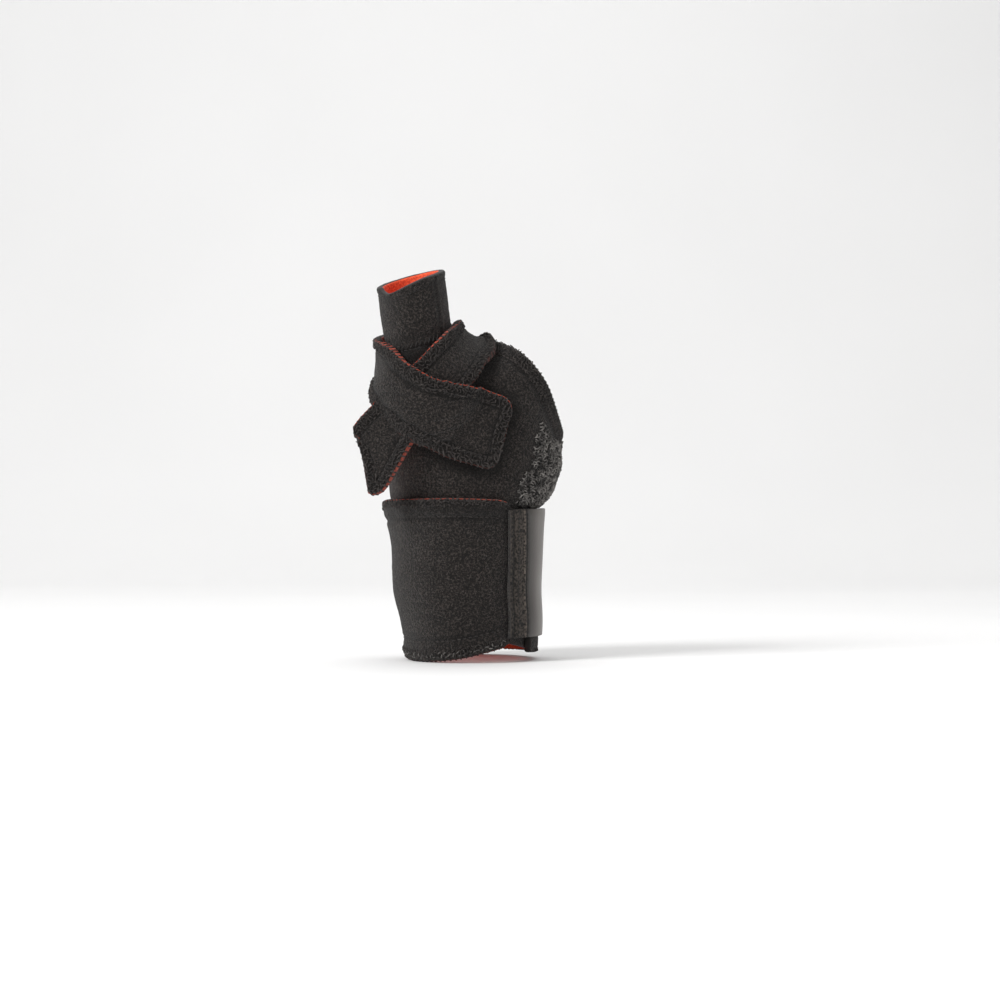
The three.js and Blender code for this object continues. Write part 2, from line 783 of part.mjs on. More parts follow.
/** The thumb strap: one ribbon looped behind the thumb, its ends crossed in front. */
function thumbStrap() {
  const sheet = new Sheet();
  const places = strapPlaces();
  const curve = new THREE.CatmullRomCurve3(places, false, "centripetal");
  curve.arcLengthDivisions = 400;
  const length = curve.getLength();
  const stations = strapStations(curve);
  const lastStation = STRAP_STATIONS.length - 1;
  const lowerRun = shares(60).map((s) =>
    curve.getPoint((s * STRAP_LOWER_RUN_STATIONS) / lastStation),
  );
  const freeNormal = settle(places[STRAP_FREE_STATIONS], TAUT_ROUNDING).normal;
  const onBody = FABRIC + STRAP_GAP;
  const onStrap = onBody + FABRIC + LAYER_GAP;
  const columns = stations.map((distance) => {
    const u = distance / length;
    const t = curve.getUtoTmapping(u);
    const station = t * lastStation;
    const middle = curve.getPoint(t);
    const tangent = curve.getTangent(t);
    const free = clamp(strapColumn("free", station), 0, 1);
    const out = settle(middle, TAUT_ROUNDING)
      .normal.lerp(freeNormal, free)
      .projectOnPlane(tangent)
      .normalize();
    const across = new THREE.Vector3().crossVectors(out, tangent).normalize();
    const fromEnd = Math.min(distance, length - distance);
    const half = strapHalfWidth(station, fromEnd);
    const slant = strapColumn("slant", station) * STRAP_WIDTH;
    const upper = station > STRAP_LOWER_RUN_STATIONS + 2;
    return shares(STRAP_COLUMNS).map((share) => {
      const side = 2 * share - 1;
      const guess = middle
        .clone()
        .addScaledVector(across, side * half)
        .addScaledVector(tangent, side * slant);
      const laid = settle(guess, TAUT_ROUNDING);
      const point = laid.point.lerp(guess, free);
      const facing = laid.normal.lerp(out, free).normalize();
      const away = Math.min(...lowerRun.map((p) => p.distanceTo(point)));
      const lift = upper
        ? 1 -
          smoothstep(
            away,
            STRAP_WIDTH / 2 + STRAP_CROSSING_CLEARANCE,
            STRAP_WIDTH / 2 + STRAP_CROSSING_CLEARANCE + STRAP_RAMP,
          )
        : 0;
      const low = lerp(onBody, onStrap, lift);
      return sheet.add(point, facing, low, low + FABRIC);
    });
  });
  sheet.join(columns);
  return fabricMesh("thumb_strap", sheet, FABRIC_BLACK, 0.95);
}

const thumbWrap = new THREE.Group();
thumbWrap.add(
  handBody(),
  thumbSleeve(),
  wristBand(),
  closureTab(),
  thumbStrap(),
);

export default thumbWrap;
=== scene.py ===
"""A right-hand thumb and wrist wrap, fastened as it is worn, on a pale studio floor.

Every sheet of cloth lies on one smooth fit form, the space that the wrap
encloses. Sizes are in millimetres up to the moment when a mesh is made.
"""

from __future__ import annotations

import logging
import math
from dataclasses import dataclass, field
from enum import Enum

import bmesh
import bpy
import numpy as np
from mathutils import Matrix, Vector, noise

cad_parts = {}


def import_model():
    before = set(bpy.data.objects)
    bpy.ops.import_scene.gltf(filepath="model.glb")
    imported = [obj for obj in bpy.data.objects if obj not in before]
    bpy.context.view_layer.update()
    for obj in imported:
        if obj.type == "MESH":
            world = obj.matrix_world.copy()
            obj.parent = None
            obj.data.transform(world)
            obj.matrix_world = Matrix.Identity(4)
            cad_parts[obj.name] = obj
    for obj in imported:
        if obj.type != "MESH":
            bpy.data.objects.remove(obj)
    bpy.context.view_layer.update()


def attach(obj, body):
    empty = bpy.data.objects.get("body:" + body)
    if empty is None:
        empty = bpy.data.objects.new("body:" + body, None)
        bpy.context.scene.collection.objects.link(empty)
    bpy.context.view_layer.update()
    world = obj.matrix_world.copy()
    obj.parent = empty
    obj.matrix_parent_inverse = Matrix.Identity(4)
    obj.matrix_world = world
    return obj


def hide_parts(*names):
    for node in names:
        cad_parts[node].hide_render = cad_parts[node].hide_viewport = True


LOG = logging.getLogger("thumb_wrap")
MM = 0.001

WRIST_THICKNESS = 50.0
WRIST_BREADTH = 54.0
WEB_HEIGHT = 130.0
THUMB_DIAMETER = 24.0
CLOTH = 2.7
LAYER_GAP = 0.55
ON_BODY = CLOTH + LAYER_GAP
ON_BAND = 2 * ON_BODY
STRAP_GAP = 0.7
BAND_HEIGHT = 66.0
UPRIGHT_TILT = 0.25
ROUND_EDGE = 0.8
STITCH_DEPTH = 1.8

# Rise as a share of the web's height, then the palm's and back's places as shares
# of the wrist's thickness, the thumb's side's and far side's as shares of its breadth.
TRUNK_SECTIONS = np.array([
    [-0.12, -0.43, 0.46, -0.48, 0.5],
    [0.0, -0.432, 0.458, -0.48, 0.5],
    [0.1, -0.472, 0.47, -0.487, 0.504],
    [0.2, -0.535, 0.459, -0.5, 0.515],
    [0.285, -0.548, 0.467, -0.509, 0.522],
    [0.37, -0.55, 0.477, -0.522, 0.537],
    [0.45, -0.556, 0.488, -0.535, 0.552],
    [0.48, -0.558, 0.495, -0.541, 0.558],
    [0.503, -0.56, 0.556, -0.545, 0.566],
    [0.52, -0.56, 0.622, -0.548, 0.576],
    [0.545, -0.548, 0.674, -0.551, 0.589],
    [0.6, -0.5, 0.715, -0.555, 0.62],
    [0.69, -0.38, 0.72, -0.55, 0.69],
    [0.76, -0.28, 0.775, -0.53, 0.74],
    [0.87, -0.08, 0.87, -0.5, 0.85],
    [0.95, 0.08, 0.92, -0.48, 0.92],
    [1.03, 0.24, 0.95, -0.463, 0.97],
    [1.2, 0.26, 0.98, -0.45, 1.04],
])

# Rise, palm, near and radius of the balls inside the thumb and inside the web.
THUMB_STATIONS = np.array([
    [0.54, -0.13, -0.08, 0.8],
    [0.68, -0.27, -0.22, 0.8],
    [0.815, -0.33, -0.358, 0.545],
    [0.94, -0.38, -0.43, 0.49],
    [1.055, -0.438, -0.49, 0.485],
    [1.17, -0.475, -0.556, 0.482],
    [1.29, -0.515, -0.63, 0.51],
    [1.4, -0.55, -0.7, 0.5],
])
WEB_STATIONS = np.array([
    [0.86, -0.3, -0.35, 0.5],
    [0.872, -0.08, -0.31, 0.47],
    [0.858, 0.16, -0.26, 0.43],
])

# Angle round the wrist, then the body's lower and upper edge as shares of its
# height, and how far a column has turned at the hand opening, in degrees.
BODY_EDGES = np.array([
    [-70, 0.035, 0.987, -69],
    [-62, 0.035, 0.979, -66],
    [-54, 0.035, 0.969, -58],
    [-46, 0.03, 0.947, -49],
    [-38, 0.025, 0.912, -41],
    [-30, 0.02, 0.869, -34],
    [-20, 0.015, 0.805, -27],
    [-10, 0.01, 0.75, -20],
    [0, 0.01, 0.719, -12],
    [15, 0.01, 0.68, -5],
    [30, 0.01, 0.645, 0],
    [60, 0.01, 0.605, 0],
    [90, 0.01, 0.595, 0],
    [105, 0.01, 0.61, 2],
    [120, 0.01, 0.655, 6],
    [132, 0.01, 0.72, 12],
    [142, 0.01, 0.79, 20],
    [151, 0.01, 0.86, 29],
    [160, 0.01, 0.92, 37],
    [200, 0.01, 0.9, 0],
    [290, 0.035, 0.9, 0],
])

# Angle round the wrist, then lower and upper edge as shares of the strip's height.
BAND_EDGES = np.array([
    [-32, 0.01, 0.9],
    [0, 0.0, 0.91],
    [60, -0.01, 0.93],
    [120, -0.02, 0.95],
    [185, -0.03, 0.97],
    [215, -0.045, 0.985],
    [255, -0.03, 0.99],
    [285, 0.015, 0.985],
    [298, 0.045, 0.975],
    [305, 0.08, 0.93],
    [312, 0.11, 0.9],
])
TAB_EDGES = np.array([
    [301, 0.13, 1.12],
    [320, 0.13, 1.13],
    [360, 0.13, 1.13],
    [405, 0.1, 1.1],
])

# Angle round the wrist, then the height above which band and tab stand straight, as
# a share of the band's height.
CUFF_LIMITS = np.array([
    [-60, 0.89],
    [60, 0.89],
    [120, 0.92],
    [180, 1.0],
    [298, 0.99],
    [306, 0.93],
    [312, 0.89],
    [405, 0.89],
])

# Angle round the thumb, then how far the sleeve's rim dips as a share of its length.
SLEEVE_RIM = np.array([
    [-300, 0],
    [-172, 0],
    [-155, 0.06],
    [-140, 0.1],
    [-125, 0.095],
    [-105, 0.06],
    [-80, 0.02],
    [-60, 0],
    [-35, 0],
])

# The strap's middle line: rise, back, far, share of the way to the end's width,
# slant of its two edges along it, and 1 where it stands off the form.
STRAP_STATIONS = np.array([
    [0.601, -0.834, -0.6, 0.45, 0.386, 1],
    [0.675, -0.712, -0.615, 0.35, 0.2, 1],
    [0.743, -0.592, -0.632, 0.2, 0.05, 0.6],
    [0.79, -0.438, -0.639, 0, 0, 0],
    [0.839, -0.337, -0.672, 0, 0, 0],
    [0.893, -0.23, -0.655, 0, 0, 0],
    [0.946, -0.115, -0.603, 0.2, 0, 0],
    [0.999, -0.008, -0.523, 0.35, 0, 0],
    [1.0, 0.05, -0.33, 0.3, 0, 0],
    [0.985, 0.0, -0.14, 0.1, 0, 0],
    [0.965, -0.16, -0.03, 0, 0, 0],
    [0.955, -0.35, -0.04, 0, 0, 0],
    [0.95, -0.54, -0.15, 0, 0, 0],
    [0.94, -0.66, -0.34, 0, 0, 0],
    [0.92, -0.67, -0.533, 0, 0, 0],
    [0.863, -0.556, -0.625, 0, 0, 0],
    [0.803, -0.383, -0.655, 0.2, 0, 0],
    [0.755, -0.165, -0.619, 0.65, 0, 0],
    [0.733, -0.016, -0.588, 0.85, 0, 0],
    [0.703, 0.265, -0.555, 1, 0, 0],
])


def shares(steps: int, bunch_end: float = 0.0, bunch_start: float = 0.0) -> np.ndarray:
    """Count from 0 to 1, closer together near an end that is bunched.

    Args:
        steps: number of steps between the two ends.
        bunch_end: how much closer the steps stand near 1.
        bunch_start: how much closer the steps stand near 0.

    Returns:
        The counts, both ends included.
    """
    s = np.linspace(0.0, 1.0, steps + 1)
    return s + bunch_end * s * (1 - s) - bunch_start * s * (1 - s) * (1 - s)


def mix(a: np.ndarray | float, b: np.ndarray | float, share: np.ndarray | float) -> np.ndarray:
    """Go a share of the way from a to b."""
    return a + (b - a) * share


def smoothstep(x: np.ndarray, low: float, high: float) -> np.ndarray:
    """Rise smoothly from 0 at low to 1 at high."""
    t = np.clip((x - low) / (high - low), 0.0, 1.0)
    return t * t * (3 - 2 * t)


def unit(vectors: np.ndarray) -> np.ndarray:
    """Scale vectors to length 1."""
    return vectors / np.maximum(np.linalg.norm(vectors, axis=-1, keepdims=True), 1e-9)


def read(rows: np.ndarray, column: int, at: np.ndarray | float) -> np.ndarray:
    """Read a table's column along a smooth curve through its rows.

    Args:
        rows: the table, whose first column is the key.
        column: the column to read.
        at: the keys to read at.

    Returns:
        The values at those keys.
    """
    keys, values = rows[:, 0], rows[:, column]
    last = len(keys) - 1
    at = np.clip(at, keys[0], keys[last])
    i = np.clip(np.searchsorted(keys, at, side="left") - 1, 0, last - 1)
    row = np.arange(last + 1)
    before, after = np.maximum(row - 1, 0), np.minimum(row + 1, last)
    slope = (values[after] - values[before]) / (keys[after] - keys[before])
    width = keys[i + 1] - keys[i]
    t = (at - keys[i]) / width
    ease = t * t * (3 - 2 * t)
    bend = (1 - t) * slope[i] - t * slope[i + 1]
    return values[i] * (1 - ease) + values[i + 1] * ease + width * t * (1 - t) * bend


class SmoothLine:
    """A centripetal spline through points, as the CAD part has it."""

    def __init__(self, points: np.ndarray) -> None:
        """Keep the points, with one more beyond each end."""
        ends = 2 * points[0] - points[1], 2 * points[-1] - points[-2]
        self.points = np.vstack([ends[0], points, ends[1]])
        self.spans = len(points) - 1
        table = np.linspace(0.0, 1.0, 40 * self.spans + 1)
        steps = np.linalg.norm(np.diff(self.at(table), axis=0), axis=1)
        self.table = table
        self.run = np.concatenate([[0.0], np.cumsum(steps)])
        self.length = float(self.run[-1])

    def at(self, t: np.ndarray) -> np.ndarray:
        """Give the points at shares t of the stations."""
        place = np.clip(np.asarray(t, float), 0.0, 1.0) * self.spans
        i = np.clip(np.floor(place).astype(int), 0, self.spans - 1)
        w = (place - i)[..., None]
        p0, p1, p2, p3 = (self.points[i + k] for k in range(4))
        d0, d1, d2 = (
            np.maximum(np.linalg.norm(b - a, axis=-1, keepdims=True) ** 0.5, 1e-4)
            for a, b in ((p0, p1), (p1, p2), (p2, p3))
        )
        t1 = ((p1 - p0) / d0 - (p2 - p0) / (d0 + d1) + (p2 - p1) / d1) * d1
        t2 = ((p2 - p1) / d1 - (p3 - p1) / (d1 + d2) + (p3 - p2) / d2) * d1
        square, cube = 3 * (p2 - p1) - 2 * t1 - t2, 2 * (p1 - p2) + t1 + t2
        return p1 + t1 * w + square * w * w + cube * w**3

    def tangent(self, t: np.ndarray) -> np.ndarray:
        """Give the directions at shares t of the stations."""
        h = 1e-4
        return unit(self.at(np.minimum(t + h, 1.0)) - self.at(np.maximum(t - h, 0.0)))

    def share_at(self, distance: np.ndarray) -> np.ndarray:
        """Turn distances along the line into shares of the stations."""
        return np.interp(distance, self.run, self.table)


@dataclass
class Balls:
    """A row of balls along a smooth line, with a surface drawn over them."""

    middles: np.ndarray
    radii: np.ndarray

    @classmethod
    def along(cls, stations: np.ndarray) -> Balls:
        """Place four balls to each span of a stations table."""
        sizes = WRIST_THICKNESS, WRIST_BREADTH, WEB_HEIGHT
        line = SmoothLine(stations[:, [1, 2, 0]] * np.array(sizes))
        t = np.linspace(0.0, 1.0, 4 * (len(stations) - 1) + 1)
        place = t * (len(stations) - 1)
        radii = np.interp(place, np.arange(len(stations)), stations[:, 3])
        return cls(line.at(t), radii * THUMB_DIAMETER)

    def level(self, p: np.ndarray) -> np.ndarray:
        """Give how far points are outside that surface."""
        run = np.diff(self.middles, axis=0)
        off = p[:, None, :] - self.middles[None, :-1, :]
        share = np.einsum("nmk,mk->nm", off, run) / np.einsum("mk,mk->m", run, run)
        share = np.clip(share, 0.0, 1.0)
        off -= share[..., None] * run
        radius = mix(self.radii[:-1], self.radii[1:], share)
        return (np.sqrt(np.einsum("nmk,nmk->nm", off, off)) - radius).min(axis=1)


@dataclass
class FitForm:
    """The smooth closed form that the wrap encloses."""

    web_rounding: float = 17.0
    taut_rounding: float = 21.0
    squareness: float = 2.25
    slope_back: float = 0.3
    slope_far: float = 0.18
    thumb: Balls = field(default_factory=lambda: Balls.along(THUMB_STATIONS))
    web: Balls = field(default_factory=lambda: Balls.along(WEB_STATIONS))

    def oval(self, height: np.ndarray) -> tuple[np.ndarray, ...]:
        """Give the trunk's middle and half widths at heights: x, y, half x, half y."""
        rise = height / WEB_HEIGHT
        palm, back = (WRIST_THICKNESS * read(TRUNK_SECTIONS, c, rise) for c in (1, 2))
        near, far = (WRIST_BREADTH * read(TRUNK_SECTIONS, c, rise) for c in (3, 4))
        return (palm + back) / 2, (near + far) / 2, (back - palm) / 2, (far - near) / 2

    def trunk_level(self, p: np.ndarray) -> np.ndarray:
        """Give how far points are outside the trunk."""
        mid_x, mid_y, half_x, half_y = self.oval(p[:, 2])
        x, y = p[:, 0] - mid_x, p[:, 1] - mid_y
        n = self.squareness
        size = (np.abs(x / half_x) ** n + np.abs(y / half_y) ** n) ** (1 / n)
        return np.hypot(x, y) * (1 - 1 / np.maximum(size, 1e-3))

    def level(self, p: np.ndarray, rounding: float) -> np.ndarray:
        """Give how far points are outside the form, its hollows rounded."""
        level = self.trunk_level(p)
        for other in (self.web.level(p), self.thumb.level(p)):
            near = np.maximum(rounding - np.abs(level - other), 0.0) / rounding
            level = np.minimum(level, other) - near * near * rounding / 4
        return level

    def slope(self, p: np.ndarray, rounding: float) -> np.ndarray:
        """Give the level's slope at points."""
        h = 0.05
        sides = [
            self.level(p + h * e, rounding) - self.level(p - h * e, rounding) for e in np.eye(3)
        ]
        return np.stack(sides, axis=1) / (2 * h)

    def settle(self, guess: np.ndarray, taut: bool = False) -> tuple[np.ndarray, np.ndarray]:
        """Move points onto the form.

        Args:
            guess: points near the form, in an array of any shape.
            taut: whether the hollows are bridged as a pulled strap does.

        Returns:
            The points on the form, and its outward normals there.
        """
        rounding = self.taut_rounding if taut else self.web_rounding
        p = guess.reshape(-1, 3).copy()
        for _ in range(6):
            slope = self.slope(p, rounding)
            step = self.level(p, rounding) / np.einsum("nk,nk->n", slope, slope)
            p -= slope * np.clip(step, -6.0, 6.0)[:, None]
        normal = unit(self.slope(p, rounding))
        return p.reshape(guess.shape), normal.reshape(guess.shape)

    def reach(self, origin: np.ndarray, direction: np.ndarray) -> np.ndarray:
        """Give the first places where rays from inside the form come out of it."""
        shape = direction.shape
        start = np.broadcast_to(origin, shape).reshape(-1, 3)
        way = direction.reshape(-1, 3)
        inside, outside = np.zeros(len(way)), np.ones(len(way))
        going = np.arange(len(way))
        while len(going):
            p = start[going] + way[going] * outside[going, None]
            still = (self.level(p, self.web_rounding) < 0) & (outside[going] < 2 * WRIST_BREADTH)
            going = going[still]
            inside[going] = outside[going]
            outside[going] += 1.0
        for _ in range(12):
            middle = (inside + outside) / 2
            within = self.level(start + way * middle[:, None], self.web_rounding) < 0
            inside = np.where(within, middle, inside)
            outside = np.where(within, outside, middle)
        return (start + way * outside[:, None]).reshape(shape)

    def round_wrist(self, angle: np.ndarray, height: np.ndarray) -> np.ndarray:
        """Give the form's surface seen from the trunk's middle, at angles and heights."""
        angle, height = np.broadcast_arrays(np.radians(angle), np.asarray(height, float))
        mid_x, mid_y, half_x, half_y = self.oval(height)
        way = np.stack([np.cos(angle) * half_x, np.sin(angle) * half_y, 0 * height], axis=-1)
        return self.reach(np.stack([mid_x, mid_y, height], axis=-1), unit(way))

    def thumb_middle(self, height: np.ndarray) -> np.ndarray:
        """Give the thumb's middle at heights."""
        z = self.thumb.middles[:, 2]
        i = np.clip(np.searchsorted(z, height, side="left") - 1, 0, len(z) - 2)
        share = (height - z[i]) / (z[i + 1] - z[i])
        return mix(self.thumb.middles[i], self.thumb.middles[i + 1], share[..., None])

    def round_thumb(self, angle: np.ndarray, height: np.ndarray) -> np.ndarray:
        """Give the form's surface round the thumb, on the sleeve's slanted plane."""
        angle, height = np.broadcast_arrays(np.radians(angle), np.asarray(height, float))
        x, y = np.cos(angle), np.sin(angle)
        way = np.stack([x, y, self.slope_back * x + self.slope_far * y], axis=-1)
        return self.reach(self.thumb_middle(height), unit(way))


@dataclass
class Patch:
    """A grid of places on the form: columns by rows, with two faces' distances."""

    points: np.ndarray
    normals: np.ndarray
    low: np.ndarray | float
    high: np.ndarray | float

    @classmethod
    def on(cls, form: FitForm, guess: np.ndarray, low: float, high: float) -> Patch:
        """Settle a grid of points on the form."""
        points, normals = form.settle(guess)
        return cls(points, normals, low, high)

    @classmethod
    def on_cuff(
        cls, form: FitForm, angle: np.ndarray, height: np.ndarray, low: float, high: float
    ) -> Patch:
        """Stand a grid of points round the wrist, straight up above the cuff's limit."""
        angle, height = np.broadcast_arrays(angle, height)
        limit = BAND_HEIGHT * read(CUFF_LIMITS, 1, angle)
        points, normals = form.settle(form.round_wrist(angle, np.minimum(height, limit)))
        points[..., 2] += np.maximum(height - limit, 0.0)
        flat = unit(normals * (1.0, 1.0, UPRIGHT_TILT))
        return cls(points, flat / (flat * normals).sum(axis=-1, keepdims=True), low, high)

    def face(self, side: np.ndarray | float) -> np.ndarray:
        """Give the grid's places at a distance outside the form."""
        side = np.broadcast_to(side, self.points.shape[:2])
        return self.points + self.normals * side[..., None]


class Edge(Enum):
    """Which edge of a patch a seam follows."""

    FIRST_ROW = "first row"
    LAST_ROW = "last row"
    FIRST_COLUMN = "first column"
    LAST_COLUMN = "last column"


class EdgeLine:
    """Places near one edge of a patch, by distance along it and in from it."""

    def __init__(self, patch: Patch, edge: Edge) -> None:
        """Turn the patch so that the edge is its first row.

        Args:
            patch: the cloth's grid.
            edge: the edge to follow.
        """
        grids = [patch.face(patch.high), patch.face(patch.low), patch.normals]
        if edge in (Edge.FIRST_COLUMN, Edge.LAST_COLUMN):
            grids = [g.swapaxes(0, 1) for g in grids]
        if edge in (Edge.LAST_ROW, Edge.LAST_COLUMN):
            grids = [g[:, ::-1] for g in grids]
        self.top, self.under, self.normals = grids
        steps = np.linalg.norm(np.diff(self.top[:, 0], axis=0), axis=1)
        self.run = np.concatenate([[0.0], np.cumsum(steps)])
        rows = np.linalg.norm(np.diff(self.top, axis=1), axis=2)
        self.depth = np.concatenate([np.zeros((len(rows), 1)), np.cumsum(rows, axis=1)], axis=1)
        self.length = float(self.run[-1])

    def _pick(self, grid: np.ndarray, along: float, inward: float) -> np.ndarray:
        """Read a grid at a distance along the edge and in from it."""
        place = np.interp(along, self.run, np.arange(len(self.run)))
        i = min(int(place), len(self.run) - 2)
        found = []
        for column in (i, i + 1):
            row = np.interp(inward, self.depth[column], np.arange(self.depth.shape[1]))
            j = min(int(row), self.depth.shape[1] - 2)
            found.append(mix(grid[column, j], grid[column, j + 1], row - j))
        return mix(found[0], found[1], place - i)

    def above(self, along: float, inward: float, lift: float = 0.0) -> np.ndarray:
        """Give a place on the outer face, or above it."""
        return self._pick(self.top, along, inward) + lift * self._pick(self.normals, along, inward)

    def below(self, along: float, inward: float) -> np.ndarray:
        """Give a place on the lining's face."""
        return self._pick(self.under, along, inward)

    def rim(self, along: float, share: float, out: float) -> np.ndarray:
        """Give a place beside the cut edge, a share of the way down it."""
        edge = mix(self.above(along, 0.0), self.below(along, 0.0), share)
        away = self.above(along, 0.0) - self.above(along, 1.0)
        return edge + out * unit(away)


class Cloth:
    """One sheet of cloth, made of patches that share their edges."""

    def __init__(self, name: str) -> None:
        """Start an empty sheet."""
        self.name = name
        self.bm = bmesh.new()
        self.place = self.bm.verts.layers.int.new("place")
        self.lining, self.hem, self.rough, self.orange, self.shade = (
            self.bm.verts.layers.float.new(name)
            for name in ("lining", "hem", "rough", "orange", "shade")
        )
        self.bm.loops.layers.uv.new("cut")
        self.low_points: list[np.ndarray] = []

    def lay(
        self,
        patch: Patch,
        hem: np.ndarray,
        rough: np.ndarray | float = 0.0,
        orange: np.ndarray | float = 0.0,
        shade: np.ndarray | float = 0.0,
    ) -> None:
        """Add a grid and move its points onto the form.

        Args:
            patch: where the points go.
            hem: each point's distance from the nearest finished edge.
            rough: 1 where the cloth's loops are raised, 0 where they lie flat.
            orange: how much of the cloth's orange core shows at the cut edge.
            shade: how much darker the cloth is, partly its own serging and partly painted shade in
                seam and stitch grooves, between stitches and beside the strap.
        """
        columns, rows = patch.points.shape[:2]
        first = sum(len(p) for p in self.low_points)
        high = patch.face(patch.high) * MM
        rough, orange, shade = (
            np.broadcast_to(values, (columns, rows)) for values in (rough, orange, shade)
        )
        self.low_points.append(patch.face(patch.low).reshape(-1, 3) * MM)
        grid = bmesh.ops.create_grid(
            self.bm, x_segments=columns - 1, y_segments=rows - 1, size=1.0, calc_uvs=True
        )
        for vert in grid["verts"]:
            i = round((vert.co.x + 1) / 2 * (columns - 1))
            j = round((vert.co.y + 1) / 2 * (rows - 1))
            vert[self.place] = first + i * rows + j
            vert[self.hem] = hem[i, j]
            vert[self.rough] = rough[i, j]
            vert[self.orange] = orange[i, j]
            vert[self.shade] = shade[i, j]
            vert.co = high[i, j]

    def finish(self, round_edge: float, materials: list[bpy.types.Material]) -> bpy.types.Object:
        """Close the sheet's two faces and make its object.

        Args:
            round_edge: how far the cut edges are rounded.
            materials: the outer face's, the lining's and the cut edge's material.

        Returns:
            The sheet's object.
        """
        bm = self.bm
        bmesh.ops.remove_doubles(bm, verts=bm.verts[:], dist=0.005 * MM)
        made = bmesh.ops.extrude_face_region(bm, geom=bm.faces[:], use_keep_orig=True)["geom"]
        low = np.vstack(self.low_points)
        for vert in made:
            if isinstance(vert, bmesh.types.BMVert):
                vert.co = low[vert[self.place]]
                vert[self.lining] = 1.0
        bmesh.ops.recalc_face_normals(bm, faces=bm.faces[:])
        for face in bm.faces:
            inner = sum(v[self.lining] > 0.5 for v in face.verts)
            face.material_index = 0 if inner == 0 else 1 if inner == len(face.verts) else 2
        rims = [
            e
            for e in bm.edges
            if len(e.link_faces) == 2
            and sum(f.material_index == 2 for f in e.link_faces) == 1
        ]
        bmesh.ops.bevel(
            bm, geom=rims, offset=round_edge * MM, segments=2, profile=0.5,
            affect="EDGES", material=-1, clamp_overlap=True,
        )
        for face in bm.faces:
            face.smooth = True
        mesh = bpy.data.meshes.new(self.name)
        bm.to_mesh(mesh)
        bm.free()
        for material in materials:
            mesh.materials.append(material)
        piece = bpy.data.objects.new(self.name, mesh)
        bpy.context.scene.collection.objects.link(piece)
        return piece


@dataclass
class Threads:
    """Sewing thread, as many short runs whose round section has 4 or 6 flat sides."""

    name: str
    radius: float
    material: bpy.types.Material
    sides: int = 6
    runs: list[tuple[np.ndarray, np.ndarray]] = field(default_factory=list)

    def run(self, *points: np.ndarray, widths: tuple[float, ...] | None = None) -> None:
        """Add one run of thread through points, its width varied at each point."""
        self.runs.append((np.array(points), np.array(widths or [1.0] * len(points))))

    def finish(self) -> bpy.types.Object:
        """Make one object of all the runs."""
        curve = bpy.data.curves.new(self.name, "CURVE")
        curve.dimensions = "3D"
        curve.bevel_depth = self.radius * MM
        curve.bevel_resolution = self.sides // 2 - 2
        for points, widths in self.runs:
            spline = curve.splines.new("POLY")
            spline.points.add(len(points) - 1)
            flat = np.ones((len(points), 4))
            flat[:, :3] = points * MM
            spline.points.foreach_set("co", flat.ravel())
            spline.points.foreach_set("radius", widths)
        curve.materials.append(self.material)
        piece = bpy.data.objects.new(self.name, curve)
        bpy.context.scene.collection.objects.link(piece)
        return piece


def overlock(threads: Threads, edge: EdgeLine, depth: float, pitch: float, seed: int = 0) -> None:
    """Sew slanted loops of thread over a cut edge, sunk in the pile and thick at the edge.

    Args:
        threads: the thread to add to.
        edge: the cut edge.
        depth: how far in from the edge the needle goes.
        pitch: distance from loop to loop.
        seed: number that sets how the loops vary.
    """
    r = threads.radius
    count = max(int(edge.length / pitch), 1)
    step = edge.length / count
    vary = np.random.default_rng(seed).uniform(-1.0, 1.0, (count, 3))
    for k in range(count):
        s = (k + 0.12 * vary[k, 0]) * step
        deep = depth * (1 + 0.1 * vary[k, 1])
        sink = (0.25 + 0.3 * vary[k, 2]) * r
        threads.run(
            edge.above(s, deep, -0.8 * r),
            edge.above(s + 0.14 * step, 0.8 * deep, 0.15 * r + sink),
            edge.above(s + 0.36 * step, 0.42 * deep, 0.1 * r + sink),
            edge.above(s + 0.5 * step, 0.9, 0.3 * r),
            edge.above(s + 0.54 * step, 0.25, 0.5 * r),
            edge.rim(s + 0.58 * step, 0.3, 0.4 * r),
            edge.rim(s + 0.62 * step, 0.75, 0.3 * r),
            edge.rim(s + 0.64 * step, 0.98, -0.6 * r),
            widths=(0.6, 1.0, 1.1, 1.2, 1.3, 1.35, 1.3, 1.0),
        )


def running_stitch(
    threads: Threads, edge: EdgeLine, inward: float, pitch: float, fill: float
) -> None:
    """Sew a line of straight stitches along an edge.

    Args:
        threads: the thread to add to.
        edge: the edge that the line follows.
        inward: how far in from the edge it runs.
        pitch: distance from stitch to stitch.
        fill: share of the pitch that each stitch covers.
    """
    r = threads.radius
    count = int(edge.length / pitch)
    for k in range(count):
        a, b = k * pitch, (k + fill) * pitch
        threads.run(
            edge.above(a, inward, -1.1 * r),
            edge.above(mix(a, b, 0.2), inward, 0.1 * r),
            edge.above(mix(a, b, 0.5), inward, 0.3 * r),
            edge.above(mix(a, b, 0.8), inward, 0.1 * r),
            edge.above(b, inward, -1.1 * r),
        )


def lumps(points: np.ndarray, size: float, seed: float) -> np.ndarray:
    """Give smooth noise at points, from about -1 to 1, with lumps of a size."""
    flat = points.reshape(-1, 3) / size
    found = [noise.noise(Vector((p[0] + seed, p[1] - seed, p[2] + 2 * seed))) for p in flat]
    return np.array(found).reshape(points.shape[:-1])


def ridge(distance: np.ndarray, at: float, width: float) -> np.ndarray:
    """Give a rounded bump, 1 high, at a distance."""
    return np.exp(-(((distance - at) / width) ** 2))


def seam_shade(hem: np.ndarray, hem_depth: float) -> np.ndarray:
    """Give how dark cloth is across its serged strip, partly its own serging and partly painted
    shade between the stitches, and its painted shade in the groove of the line of stitches.
    """
    between = 0.5 * (1 - smoothstep(hem, hem_depth - 0.6, hem_depth + 0.6))
    return np.maximum(between, 0.9 * ridge(hem, hem_depth + 0.5, 0.75))


